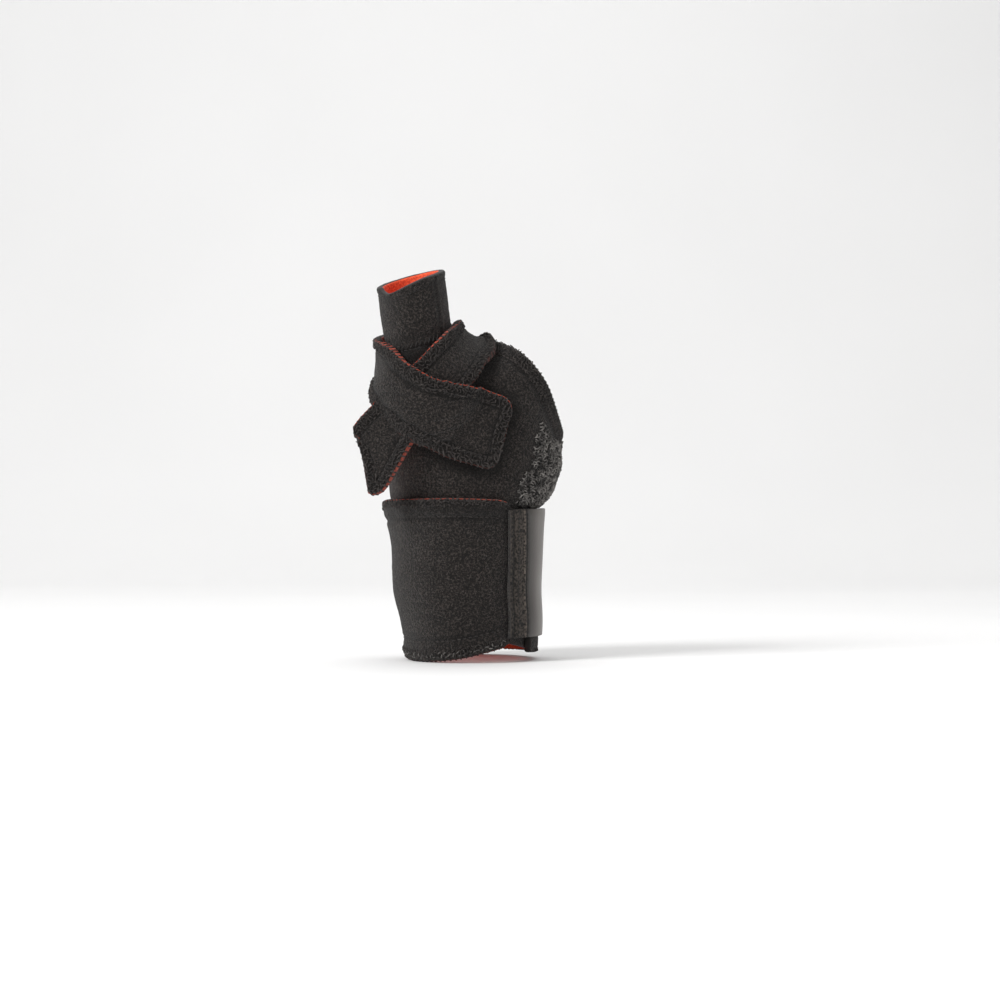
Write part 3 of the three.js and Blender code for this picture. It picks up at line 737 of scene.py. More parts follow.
def brushed(points: np.ndarray, seed: float, hem: np.ndarray, hem_depth: float) -> np.ndarray:
    """Give the relief of brushed cloth: tufts, slack, and puckers where it is serged.

    Args:
        points: places on the cloth.
        seed: number that sets the noise.
        hem: each place's distance from the nearest finished edge.
        hem_depth: how far the serging reaches in.

    Returns:
        The relief, outward.
    """
    serged = 1 - smoothstep(hem, hem_depth - 1.0, hem_depth + 0.4)
    fine = 0.11 * lumps(points, 0.9, seed) + (0.1 + 0.2 * serged) * lumps(points, 2.1, seed + 3)
    return fine + 0.16 * lumps(points, 11.0, seed + 7)


def nearest(points: np.ndarray, edge: np.ndarray) -> np.ndarray:
    """Give how far each place of a grid is from the nearest point of an edge."""
    flat = points.reshape(-1, 3)
    best = np.full(len(flat), np.inf)
    for part in np.array_split(edge, max(1, len(edge) // 60)):
        away = flat[:, None, :] - part[None, :, :]
        best = np.minimum(best, np.sqrt(np.einsum("nmk,nmk->nm", away, away)).min(axis=1))
    return best.reshape(points.shape[:-1])


def inward(points: np.ndarray, axis: int, from_last: bool = False) -> np.ndarray:
    """Give each place's distance from the first or last line of its grid.

    Args:
        points: the grid's places.
        axis: the grid's axis that the distance runs along.
        from_last: whether to measure from the last line.

    Returns:
        The distances, measured along the grid.
    """
    lengths = np.linalg.norm(np.diff(points, axis=axis), axis=2)
    run = np.insert(np.cumsum(lengths, axis=axis), 0, 0.0, axis=axis)
    return np.take(run, [-1], axis=axis) - run if from_last else run


@dataclass
class YarnLoops:
    """Small standing loops of yarn, scattered evenly over part of a cloth."""

    spacing: float
    height: float
    half_width: float
    seed: int

    def _scatter(self, patch: Patch, share: np.ndarray) -> tuple[np.ndarray, np.ndarray]:
        """Give evenly spread places on part of a cloth, and the normals there."""
        rng = np.random.default_rng(self.seed)
        inside = np.argwhere(share[:-1, :-1] > 0.4)
        top = patch.face(patch.high)
        space = self.spacing * 1.0
        found, normals = np.full((9000, 3), 1e6), np.zeros((9000, 3))
        count = 0
        for _ in range(50):
            i, j = inside[rng.integers(0, len(inside), 600)].T
            u, v = rng.uniform(0, 1, (2, 600, 1))
            first, second = (mix(top[i, k], top[i + 1, k], u) for k in (j, j + 1))
            for one, normal in zip(mix(first, second, v), patch.normals[i, j]):
                away = ((found[:count] - one) ** 2).sum(axis=1)
                if count < len(found) and (away > space**2).all():
                    found[count], normals[count] = one, normal
                    count += 1
        return found[:count], normals[:count]

    def sew(self, threads: Threads, patch: Patch, share: np.ndarray) -> None:
        """Stand the loops on a cloth.

        Args:
            threads: the yarn to add to.
            patch: the cloth's grid.
            share: above 0.4 where the loops stand.
        """
        rng = np.random.default_rng(self.seed + 1)
        for place, normal in zip(*self._scatter(patch, share)):
            side = unit(np.cross(normal, rng.normal(size=3)))
            lean = unit(np.cross(normal, side)) * rng.uniform(-0.35, 0.35)
            half = side * self.half_width * rng.uniform(0.8, 1.3)
            up = normal * self.height * rng.uniform(0.45, 1.0)
            threads.run(
                place - half - 0.2 * normal,
                place - 0.95 * half + 0.62 * up + 0.5 * lean,
                place + up + lean,
                place + 0.95 * half + 0.62 * up + 0.5 * lean,
                place + half - 0.2 * normal,
            )


def serged_part(hem: np.ndarray, hem_depth: float) -> np.ndarray:
    """Give 1 on the serged strip along a finished edge, and 0 elsewhere."""
    return ((hem > 0.9) & (hem < hem_depth - 0.3)).astype(float)


def steps(coarse: int) -> int:
    """Turn the CAD grid's count of steps into the finer one of the cloth."""
    return coarse * 4


@dataclass
class Made:
    """A finished piece, the slot it belongs to and the part it replaces."""

    piece: bpy.types.Object
    slot: str
    replaces: str | None = None


@dataclass
class Finishes:
    """The materials, each made once."""

    pile: bpy.types.Material
    lining: bpy.types.Material
    cut_edge: bpy.types.Material
    thread: bpy.types.Material
    dark_thread: bpy.types.Material
    loop_yarn: bpy.types.Material
    tape: bpy.types.Material

    def cloth(self) -> list[bpy.types.Material]:
        """The outer face's, lining's and cut edge's materials."""
        return [self.pile, self.lining, self.cut_edge]


@dataclass
class HandBody:
    """The main sheet round the wrist and the palm side, with the web's collar."""

    form: FitForm
    finishes: Finishes
    height: float = 131.0
    front_angle: float = 290.0
    back_angle: float = 160.0
    polar_share: float = 0.68
    near_seam: float = 0.82
    seam_height: float = 130.0
    seam_gap: float = 0.6
    seam_front_angle: float = -35.0
    seam_back_angle: float = 60.0
    web_front: tuple[float, float, float] = (0.995, 0.245, -0.277)
    web_middle: tuple[float, float, float] = (0.985, 0.2, -0.12)
    web_back: tuple[float, float, float] = (0.927, -0.016, -0.01)
    hem_depth: float = 5.6
    stitch_pitch: float = 2.1
    loops_from: float = 62.5
    bulge: float = 0.9
    bulge_height: float = 65.4
    dent_height: float = 73.0
    flat_size: tuple[float, float] = (215.0, 150.0)
    flat_area: float = 21910.0

    def _placed(self, place: tuple[float, float, float]) -> np.ndarray:
        """Turn a rise, back and far into a place."""
        rise, back, far = place
        return np.array([back * WRIST_THICKNESS, far * WRIST_BREADTH, rise * WEB_HEIGHT])

    def _on_column(self, angle: np.ndarray, rise: np.ndarray) -> np.ndarray:
        """Give places on the columns that turn round the palm."""
        bottom, top = read(BODY_EDGES, 1, angle), read(BODY_EDGES, 2, angle)
        turn = read(BODY_EDGES, 3, angle)
        height = self.height * mix(bottom, top, rise)
        return self.form.round_wrist(angle + turn * rise * rise, height)

    def seam_ring(self, share: np.ndarray, height: float) -> np.ndarray:
        """Give the seam round the thumb, from the web's front to its back."""
        angle = mix(self.seam_front_angle, self.seam_back_angle - 360, share)
        return self.form.round_thumb(angle, height)

    def seam_web(self, share: np.ndarray, height: float) -> np.ndarray:
        """Give the seam across the web, from its front to its back."""
        angle = mix(self.seam_front_angle, self.seam_back_angle, share)
        return self.form.round_thumb(angle, height)

    def _straight(self, share: np.ndarray, rise: np.ndarray) -> np.ndarray:
        """Give columns straight up the thumb's side, from the lower edge to near the seam."""
        angle = mix(self.front_angle, self.back_angle, share)
        bottom = self.height * read(BODY_EDGES, 1, angle)
        polar_top = self.polar_share * WEB_HEIGHT
        knee = self.form.round_wrist(angle, polar_top)
        top = mix(knee, self.seam_ring(share, self.seam_height - self.seam_gap), self.near_seam)
        height = mix(bottom[:, None], top[:, 2:3], rise[None, :])
        above = (height - polar_top) / (top[:, 2:3] - polar_top)
        low = self.form.round_wrist(angle[:, None], np.minimum(height, polar_top))
        high = mix(knee[:, None], top[:, None], above[..., None])
        return np.where(above[..., None] > 0, high, low)

    def _turned(
        self, share: float, angle: float, corner: tuple[float, float, float], rise: np.ndarray
    ) -> np.ndarray:
        """Give how far a split line's turned column stands from its straight one."""
        turned = self._on_column(np.full_like(rise, angle), rise)
        miss = self._placed(corner) - turned[-1]
        return turned + miss * rise[:, None] ** 4 - self._straight(np.array([share]), rise)[0]

    def _thumb_side(self, rise: np.ndarray, web_rise: np.ndarray) -> np.ndarray:
        """Give the grid from the lower edge up to the sleeve's seam."""
        share = shares(steps(21))
        front = self._turned(0.0, self.front_angle - 360, self.web_front, rise)
        back = self._turned(1.0, self.back_angle, self.web_back, rise)
        lower = self._straight(share, rise)
        lower += front[None] * ((1 - share) ** 2)[:, None, None]
        lower += back[None] * (share**2)[:, None, None]
        rim = self.seam_ring(share, self.seam_height - self.seam_gap)
        upper = mix(lower[:, -1:], rim[:, None], web_rise[None, 1:, None])
        return np.concatenate([lower, upper], axis=1)

    def _raised_loops(self, points: np.ndarray) -> np.ndarray:
        """Give 1 where the cloth's loops are raised, on the wrap's back, and 0 elsewhere."""
        x, z = points[..., 0], points[..., 2]
        left = np.interp(z, [60.0, 68.8, 77.4, 98.0], [17.5, 18.0, 25.0, 28.0])
        top = np.interp(x, [27.0, 33.0], [99.5, 89.0])
        side = smoothstep(x - left, -0.5, 1.5)
        return side * smoothstep(top - z, -0.4, 0.9)

    def build(self) -> list[Made]:
        """Make the cloth, its serged opening and the seam to the sleeve."""
        rise, web_rise = shares(steps(22), bunch_end=0.3), shares(steps(6))
        hand_share = shares(steps(25))
        angle = mix(self.back_angle, self.front_angle - 360, hand_share)
        web_share = shares(steps(12))
        front, middle, back = map(self._placed, (self.web_front, self.web_middle, self.web_back))
        t = web_share[:, None]
        curve = (1 - t) ** 2 * front + 2 * t * (1 - t) * middle + t * t * back
        seam_rim = self.seam_web(web_share, self.seam_height - self.seam_gap)
        guesses = {
            "thumb": self._thumb_side(rise, web_rise),
            "hand": self._on_column(angle[:, None], rise[None, :]),
            "web": mix(curve[:, None], seam_rim[:, None], web_rise[None, :, None]),
        }
        patches = {k: Patch.on(self.form, g, 0.0, CLOTH) for k, g in guesses.items()}
        knee = len(rise) - 1
        thumb, hand, web = patches["thumb"], patches["hand"], patches["web"]
        for grid in ("points", "normals"):
            a, h, w = (getattr(p, grid) for p in (thumb, hand, web))
            h[0], h[-1] = a[-1, : knee + 1], a[0, : knee + 1]
            w[0], w[-1] = a[0, knee:], a[-1, knee:]
        opening = np.vstack([hand.points[:, -1], web.points[:, 0]])
        seam = np.vstack([thumb.points[:, -1], web.points[:, -1]])
        strap = ThumbStrap(self.form, self.finishes).lay_out()[0].points[::3, ::3].reshape(-1, 3)
        cloth = Cloth("hand_body_cloth")
        for patch in patches.values():
            hem = nearest(patch.points, opening)
            to_seam = nearest(patch.points, seam)
            relief = brushed(patch.points, 1.0, hem, self.hem_depth)
            relief += 0.3 * (1 - smoothstep(hem, self.hem_depth - 1.6, self.hem_depth))
            relief -= 0.35 * ridge(hem, self.hem_depth + 0.5, 0.7)
            relief += 0.2 * ridge(to_seam, 2.2, 1.2) - 0.25 * ridge(to_seam, 0.0, 1.0)
            x, z = patch.points[..., 0], patch.points[..., 2]
            swell = ridge(z, self.bulge_height, 2.2) - ridge(z, self.dent_height, 4.0)
            relief += self.bulge * swell * smoothstep(x, 18.0, 27.0)
            patch.high = CLOTH + relief
            # Painted shade: the cloth is darkened in its stitch grooves and along the seam to the
            # sleeve, and a painted shadow darkens it within 7 mm of the strap.
            shade = np.maximum(seam_shade(hem, self.hem_depth), 0.7 * ridge(to_seam, 0.0, 2.0))
            painted_strap_shadow = 0.85 * (1 - smoothstep(nearest(patch.points, strap), 2.5, 7.0))
            shade = np.maximum(shade, painted_strap_shadow)
            cloth.lay(patch, hem, self._raised_loops(patch.points), shade=shade)
        body = cloth.finish(ROUND_EDGE, self.finishes.cloth())
        threads = Threads("hand_body_serging", 0.26, self.finishes.thread)
        for edge in (EdgeLine(hand, Edge.LAST_ROW), EdgeLine(web, Edge.FIRST_ROW)):
            overlock(threads, edge, depth=STITCH_DEPTH, pitch=self.stitch_pitch, seed=1)
            running_stitch(threads, edge, self.hem_depth + 0.3, self.stitch_pitch, fill=0.7)
        serging = threads.finish()
        curls = Threads("hand_body_curls", 0.22, self.finishes.thread, sides=4)
        for seed, patch in enumerate((hand, web)):
            part = serged_part(nearest(patch.points, opening), self.hem_depth)
            loops = YarnLoops(spacing=1.05, height=0.45, half_width=0.55, seed=40 + seed)
            loops.sew(curls, patch, part)
        yarn = Threads("hand_body_loops", 0.29, self.finishes.loop_yarn, sides=4)
        raised = self._raised_loops(hand.points) * (hand.points[..., 2] > self.loops_from)
        YarnLoops(spacing=1.0, height=1.0, half_width=0.6, seed=5).sew(yarn, hand, raised)
        curled = [curls.finish(), yarn.finish()]
        return [
            Made(body, "body_fabric", "hand_body"),
            *(Made(piece, "body_fabric") for piece in (serging, *curled)),
        ]


@dataclass
class ThumbSleeve:
    """The open-ended tube round the thumb, sewn to the body."""

    body: HandBody
    length: float = 26.5
    seam_depth: float = 2.4
    hem: float = 3.6
    stitch_pitch: float = 1.9
    flat_size: tuple[float, float] = (84.0, 26.0)

    def build(self) -> list[Made]:
        """Make the tube and the thread across its seam."""
        form, finishes = self.body.form, self.body.finishes
        ring, web = shares(steps(21)), shares(steps(12))
        angle = mix(self.body.seam_front_angle, self.body.seam_back_angle - 360, ring)
        dip = self.length * read(SLEEVE_RIM, 1, angle)
        rows = []
        for rise in shares(steps(7)):
            height = self.body.seam_height + self.length * rise
            round_thumb = self.body.seam_ring(ring, height - dip * rise)
            across_web = self.body.seam_web(web, height)[-2::-1]
            rows.append(np.vstack([round_thumb, across_web]))
        patch = Patch.on(form, np.stack(rows, axis=1), 0.0, CLOTH)
        hem, seam = (nearest(patch.points, patch.points[:, k]) for k in (-1, 0))
        side = nearest(patch.points, patch.points[steps(1)])
        relief = brushed(patch.points, 4.0, hem, 1.5)
        relief += 0.3 * ridge(hem, 1.3, 1.3) - 0.2 * ridge(hem, self.hem, 0.8)
        relief += 0.3 * ridge(side, 0.9, 0.8) - 0.35 * ridge(side, 0.0, 0.5)
        gathers = lumps(patch.points * (1.0, 1.0, 0.6), 2.6, 9.0)
        relief += 0.5 * gathers * ridge(seam, 2.0, 3.2) - 0.3 * ridge(seam, 4.6, 0.8)
        patch.high = CLOTH + relief
        cloth = Cloth("thumb_sleeve_cloth")
        # Painted shade in the seam to the body and the groove beside it, in the side seam and in
        # the hem's stitch groove.
        shade = 0.75 * ridge(seam, 0.0, 2.2) + 0.5 * ridge(seam, 4.6, 0.9)
        shade += 0.6 * ridge(side, 0.0, 0.7) + 0.4 * ridge(hem, self.hem, 0.7)
        cloth.lay(patch, hem, shade=np.clip(shade, 0.0, 1.0))
        sleeve = cloth.finish(ROUND_EDGE, finishes.cloth())
        threads = Threads("thumb_sleeve_seam", 0.22, finishes.dark_thread)
        seam_edge = EdgeLine(patch, Edge.FIRST_ROW)
        overlock(threads, seam_edge, self.seam_depth, self.stitch_pitch, seed=2)
        cord = [seam_edge.rim(s, 0.3, 0.3) for s in np.linspace(0, seam_edge.length, 160)]
        threads.run(*cord, widths=(2.4,) * len(cord))
        rim = EdgeLine(patch, Edge.LAST_ROW)
        running_stitch(threads, rim, self.hem, self.stitch_pitch, fill=0.6)
        sewing = threads.finish()
        return [Made(sleeve, "body_fabric", "thumb_sleeve"), Made(sewing, "body_fabric")]


@dataclass
class WristBand:
    """The wide band round the wrist, over the body."""

    form: FitForm
    finishes: Finishes
    height: float = BAND_HEIGHT
    start_angle: float = -32.0
    end_angle: float = 312.0
    hem: float = 8.2
    serged: float = 3.6
    stitch_pitch: float = 2.4
    flat_size: tuple[float, float] = (181.0, 66.0)

    def build(self) -> list[Made]:
        """Make the band, its two hems and their stitching."""
        angle = mix(self.start_angle, self.end_angle, shares(steps(48)))[:, None]
        bottom, top = (self.height * read(BAND_EDGES, c, angle) for c in (1, 2))
        rise = shares(steps(16), bunch_end=0.45)[None, :]
        patch = Patch.on_cuff(self.form, angle, mix(bottom, top, rise), ON_BODY, ON_BODY + CLOTH)
        upper, lower = inward(patch.points, 1, from_last=True), inward(patch.points, 1)
        hem = np.minimum(upper, lower)
        bare = smoothstep(angle, 46.0, 54.0) * (1 - smoothstep(angle, 296.0, 299.5))
        relief = brushed(patch.points, 11.0, hem, self.hem)
        for edge, high in ((upper, 0.4), (lower, 0.4)):
            roll = smoothstep(edge, -0.5, 3.0) * (1 - smoothstep(edge, self.hem - 3.0, self.hem))
            relief += (0.1 + high * bare) * roll
            relief -= 0.5 * ridge(edge, self.hem, 0.8)
            relief += 0.15 * bare * ridge(edge, self.hem + 2.2, 1.3)
        patch.high = ON_BODY + CLOTH + relief
        cloth = Cloth("wrist_band_cloth")
        shown = smoothstep(angle, -24.0, -18.0) * (1 - smoothstep(angle, 297.0, 300.0))
        near_end = mix(0.1, 0.7, smoothstep(angle, 278.0, 288.0))
        orange = np.where(upper < lower, 1.0, near_end) * shown
        # Painted shade in the serged strips and stitch grooves, lighter along the lower hem.
        shade = seam_shade(hem, self.hem) - 0.4 * (1 - smoothstep(lower, self.hem - 1.5, self.hem))
        cloth.lay(patch, hem, 0.0, orange, np.clip(shade, 0.0, 1.0))
        band = cloth.finish(ROUND_EDGE, self.finishes.cloth())
        threads = Threads("wrist_band_serging", 0.24, self.finishes.thread, sides=4)
        for side, seed in ((Edge.FIRST_ROW, 3), (Edge.LAST_ROW, 4)):
            edge = EdgeLine(patch, side)
            overlock(threads, edge, STITCH_DEPTH, self.stitch_pitch, seed=seed)
            running_stitch(threads, edge, self.hem, self.stitch_pitch, fill=0.6)
        part = serged_part(hem, self.serged) * bare
        YarnLoops(spacing=1.15, height=0.5, half_width=0.55, seed=50).sew(threads, patch, part)
        serging = threads.finish()
        yarn = Threads("wrist_band_loops", 0.25, self.finishes.loop_yarn, sides=4)
        low_part = ((lower > 0.3) & (lower < 2.4)) * bare
        YarnLoops(spacing=1.5, height=0.6, half_width=0.6, seed=51).sew(yarn, patch, low_part)
        loops = yarn.finish()
        return [
            Made(band, "body_fabric", "wrist_band"),
            Made(serging, "body_fabric"),
            Made(loops, "body_fabric"),
        ]


@dataclass
class ClosureTab:
    """The smooth sheet at the band's end, which fastens it."""

    form: FitForm
    finishes: Finishes
    thickness: float = 1.2
    height: float = 54.0
    start_angle: float = 301.0
    end_angle: float = 405.0
    bow: float = 2.6
    hem: float = 6.6
    first_stitches: float = 1.9
    stitch_pitch: float = 1.9
    flat_size: tuple[float, float] = (61.0, 55.0)

    def build(self) -> list[Made]:
        """Make the tab and the stitches along its sewn end."""
        along = shares(steps(26), bunch_start=0.5)[:, None]
        angle = mix(self.start_angle, self.end_angle, along)
        bottom, top = (self.height * read(TAB_EDGES, c, angle) for c in (1, 2))
        rise = shares(steps(13), bunch_end=0.45)[None, :]
        bow = 4 * self.bow * (1 - along) * rise * (1 - rise)
        patch = Patch.on_cuff(
            self.form, angle + bow, mix(bottom, top, rise), ON_BAND, ON_BAND + self.thickness
        )
        sewn = inward(patch.points, 0)
        relief = 0.3 * ridge(sewn, 0.3, 0.5) - 0.3 * ridge(sewn, self.first_stitches, 0.5)
        relief += 0.18 * smoothstep(sewn, 2.4, 3.2) * (1 - smoothstep(sewn, 5.0, 5.6))
        relief += 0.12 * lumps(patch.points, 1.4, 31.0) * (1 - smoothstep(sewn, 5.4, 6.0))
        relief += 0.5 * ridge(sewn, self.hem, 0.6) - 0.4 * ridge(sewn, self.hem + 1.3, 0.6)
        waves = lumps(patch.points * (1.0, 1.0, 0.3), 6.0, 33.0)
        relief += 0.12 * waves * smoothstep(sewn, 8.0, 12.0)
        patch.high = ON_BAND + self.thickness + relief
        cloth = Cloth("closure_tab_tape")
        cloth.lay(patch, sewn)
        tab = cloth.finish(0.35, [self.finishes.tape, self.finishes.pile, self.finishes.pile])
        threads = Threads("closure_tab_stitching", 0.24, self.finishes.dark_thread)
        edge = EdgeLine(patch, Edge.FIRST_COLUMN)
        for place in (self.first_stitches, self.hem - 1.3):
            running_stitch(threads, edge, place, self.stitch_pitch, fill=0.6)
        stitching = threads.finish()
        return [Made(tab, "tab_fabric", "closure_tab"), Made(stitching, "tab_fabric")]


@dataclass
class ThumbStrap:
    """One ribbon looped behind the thumb, its two ends crossed in front."""

    form: FitForm
    finishes: Finishes
    width: float = 22.0
    end_width: float = 31.0
    corner: float = 5.0
    ramp: float = 10.0
    clearance: float = 1.2
    lower_run: int = 8
    free_stations: int = 3
    step: float = 0.8
    quick_step: float = 1.8
    corner_shares: tuple[float, ...] = (0, 0.04, 0.12, 0.22, 0.35, 0.5, 0.65, 0.82)
    serged: float = 4.6
    stitch_pitch: float = 2.4
    flat_area: float = 5233.0

    def _at(self, column: int, station: np.ndarray) -> np.ndarray:
        """Read a column of the strap's table at counts of its stations."""
        numbered = np.column_stack([np.arange(len(STRAP_STATIONS)), STRAP_STATIONS])
        return read(numbered, column + 1, station)

    def _half_width(self, station: np.ndarray, from_end: np.ndarray) -> np.ndarray:
        """Give half of the strap's width, with rounded corners at its two ends."""
        half = mix(self.width, self.end_width, self._at(3, station)) / 2
        short = np.clip(self.corner - from_end, 0.0, self.corner)
        return half - self.corner + np.sqrt(self.corner**2 - short**2)

    def lay_out(self) -> tuple[Patch, SmoothLine]:
        """Lay the ribbon over the form."""
        rows = STRAP_STATIONS
        places = rows[:, [1, 2, 0]] * (WRIST_THICKNESS, WRIST_BREADTH, WEB_HEIGHT)
        settled, _ = self.form.settle(places, taut=True)
        places = np.where(rows[:, 5:6] > 0, places, settled)
        line = SmoothLine(places)
        last = len(rows) - 1
        corner = np.array(self.corner_shares) * self.corner
        step = self.step
        count = int((line.length - 2 * self.corner) / step)
        middle = np.linspace(self.corner, line.length - self.corner, count)
        distance = np.concatenate([corner, middle, line.length - corner[::-1]])
        t = line.share_at(distance)
        station = t * last
        centre, tangent = line.at(t), line.tangent(t)
        free = np.clip(self._at(5, station), 0, 1)[:, None]
        free_normal = self.form.settle(places[self.free_stations][None], taut=True)[1][0]
        out = mix(self.form.settle(centre, taut=True)[1], free_normal, free)
        out = unit(out - tangent * np.einsum("nk,nk->n", out, tangent)[:, None])
        across = unit(np.cross(out, tangent))
        half = self._half_width(station, np.minimum(distance, line.length - distance))
        slant = self._at(4, station) * self.width
        side = (2 * shares(steps(10)) - 1)[None, :, None]
        guess = centre[:, None] + across[:, None] * side * half[:, None, None]
        guess = guess + tangent[:, None] * side * slant[:, None, None]
        laid, normal = self.form.settle(guess, taut=True)
        points = mix(laid, guess, free[:, None])
        facing = unit(mix(normal, out[:, None], free[:, None]))
        run = line.at(np.linspace(0, self.lower_run / last, 61))
        start = self.width / 2 + self.clearance
        lift = 1 - smoothstep(nearest(points, run), start, start + self.ramp)
        lift = lift * (station > self.lower_run + 2)[:, None]
        low = CLOTH + STRAP_GAP + (CLOTH + LAYER_GAP) * lift
        return Patch(points, facing, low, low + CLOTH), line

    def _orange(
        self, patch: Patch, top: np.ndarray, under: np.ndarray, ends: np.ndarray
    ) -> np.ndarray:
        """Give how much of the orange core shows: all along one edge, and near the free end."""
        along = np.linspace(0.0, 1.0, len(patch.points))[:, None]
        lower = mix(0.65, 0.12, smoothstep(along, 0.13, 0.2))
        orange = np.where(top < under, 1.0, lower)
        at_end = ends < np.minimum(top, under)
        return np.where(at_end, 0.12, orange)

    def build(self) -> list[Made]:
        """Make the ribbon and its serged edges."""
        patch, line = self.lay_out()
        top, under = inward(patch.points, 1, from_last=True), inward(patch.points, 1)
        ends = np.minimum(inward(patch.points, 0), inward(patch.points, 0, from_last=True))
        hem = np.minimum(np.minimum(top, under), ends)
        relief = brushed(patch.points, 21.0, hem, self.serged)
        relief += 0.32 * (1 - smoothstep(hem, self.serged - 1.4, self.serged))
        relief -= 0.4 * ridge(hem, self.serged + 0.5, 0.6)
        patch.high = patch.high + relief
        cloth = Cloth("thumb_strap_cloth")
        cloth.lay(
            patch, hem, 0.0, self._orange(patch, top, under, ends), seam_shade(hem, self.serged)
        )
        strap = cloth.finish(ROUND_EDGE, self.finishes.cloth())
        threads = Threads("thumb_strap_serging", 0.28, self.finishes.thread)
        for seed, side in enumerate(Edge):
            edge = EdgeLine(patch, side)
            overlock(threads, edge, STITCH_DEPTH, self.stitch_pitch, seed=10 + seed)
            running_stitch(threads, edge, self.serged + 0.3, self.stitch_pitch, fill=0.6)
        serging = threads.finish()
        curls = Threads("thumb_strap_curls", 0.23, self.finishes.thread, sides=4)
        loops = YarnLoops(spacing=1.15, height=0.7, half_width=0.65, seed=60)
        loops.sew(curls, patch, serged_part(hem, self.serged))
        curled = curls.finish()
        LOG.info("strap length %.1f mm", line.length)
        return [
            Made(strap, "body_fabric", "thumb_strap"),
            Made(serging, "body_fabric"),
            Made(curled, "body_fabric"),
        ]


class Graph:
    """A node tree with short calls to add nodes and join them."""

    def __init__(self, tree: bpy.types.NodeTree) -> None:
        """Keep the tree."""
        self.tree = tree

    def feed(self, node: bpy.types.Node, inputs: dict) -> None:
        """Set each socket's value, or join it to the socket that feeds it."""
        for name, value in inputs.items():
            if isinstance(value, bpy.types.NodeSocket):
                self.tree.links.new(value, node.inputs[name])
            else:
                node.inputs[name].default_value = value

    def add(self, kind: str, inputs: dict | None = None, **settings: object) -> bpy.types.Node:
        """Add a node.

        Args:
            kind: the node's type, without the leading "ShaderNode".
            inputs: each socket's value, or the socket that feeds it.
            settings: the node's own properties.

        Returns:
            The node.
        """
        node = self.tree.nodes.new("ShaderNode" + kind)
        for name, value in settings.items():
            setattr(node, name, value)
        self.feed(node, inputs or {})
        return node

    def attribute(self, name: str) -> bpy.types.NodeSocket:
        """Read one of the cloth's own attributes."""
        return self.add("Attribute", attribute_name=name).outputs["Fac"]

    def noise(self, scale: object, detail: float = 2.0, rough: float = 0.5) -> bpy.types.NodeSocket:
        """Read noise over the object, finer where its scale is larger."""
        place = self.add("TexCoord").outputs["Object"]
        values = {"Vector": place, "Scale": scale, "Detail": detail, "Roughness": rough}
        return self.add("TexNoise", values).outputs["Fac"]

    def math(self, operation: str, *values: object) -> bpy.types.NodeSocket:
        """Work out one or two values with an operation."""
        return self.add("Math", dict(enumerate(values)), operation=operation).outputs[0]

    def span(self, value: bpy.types.NodeSocket, *limits: float) -> bpy.types.NodeSocket:
        """Map a value from its low and high limit onto 0 and 1, or onto two more limits."""
        return self.add("MapRange", dict(enumerate((value, *limits)))).outputs[0]

    def ramp(
        self, factor: bpy.types.NodeSocket, stops: list[tuple[float, float]]
    ) -> bpy.types.NodeSocket:
        """Turn a factor into greys through stops of place and value."""
        node = self.add("ValToRGB", {"Fac": factor})
        while len(node.color_ramp.elements) < len(stops):
            node.color_ramp.elements.new(0.5)
        for element, (place, value) in zip(node.color_ramp.elements, stops):
            element.position = place
            element.color = (value, value, value, 1.0)
        return node.outputs["Color"]

    def mix_colors(
        self, factor: object, a: object, b: object, blend: str = "MIX"
    ) -> bpy.types.NodeSocket:
        """Mix two colours by a factor."""
        values = {0: factor, 6: a, 7: b}
        return self.add("Mix", values, data_type="RGBA", blend_type=blend).outputs[2]

    def bump(
        self, height: bpy.types.NodeSocket, strength: float, distance: float
    ) -> bpy.types.NodeSocket:
        """Turn a height into a bent normal."""
        values = {"Height": height, "Strength": strength, "Distance": distance}
        return self.add("Bump", values).outputs["Normal"]


def linear(red: int, green: int, blue: int) -> tuple[float, float, float, float]:
    """Turn a screen colour from 0 to 255 into a linear one."""
    def one(value: int) -> float:
        """Turn one channel."""
        v = value / 255
        return v / 12.92 if v <= 0.04045 else ((v + 0.055) / 1.055) ** 2.4
    return one(red), one(green), one(blue), 1.0


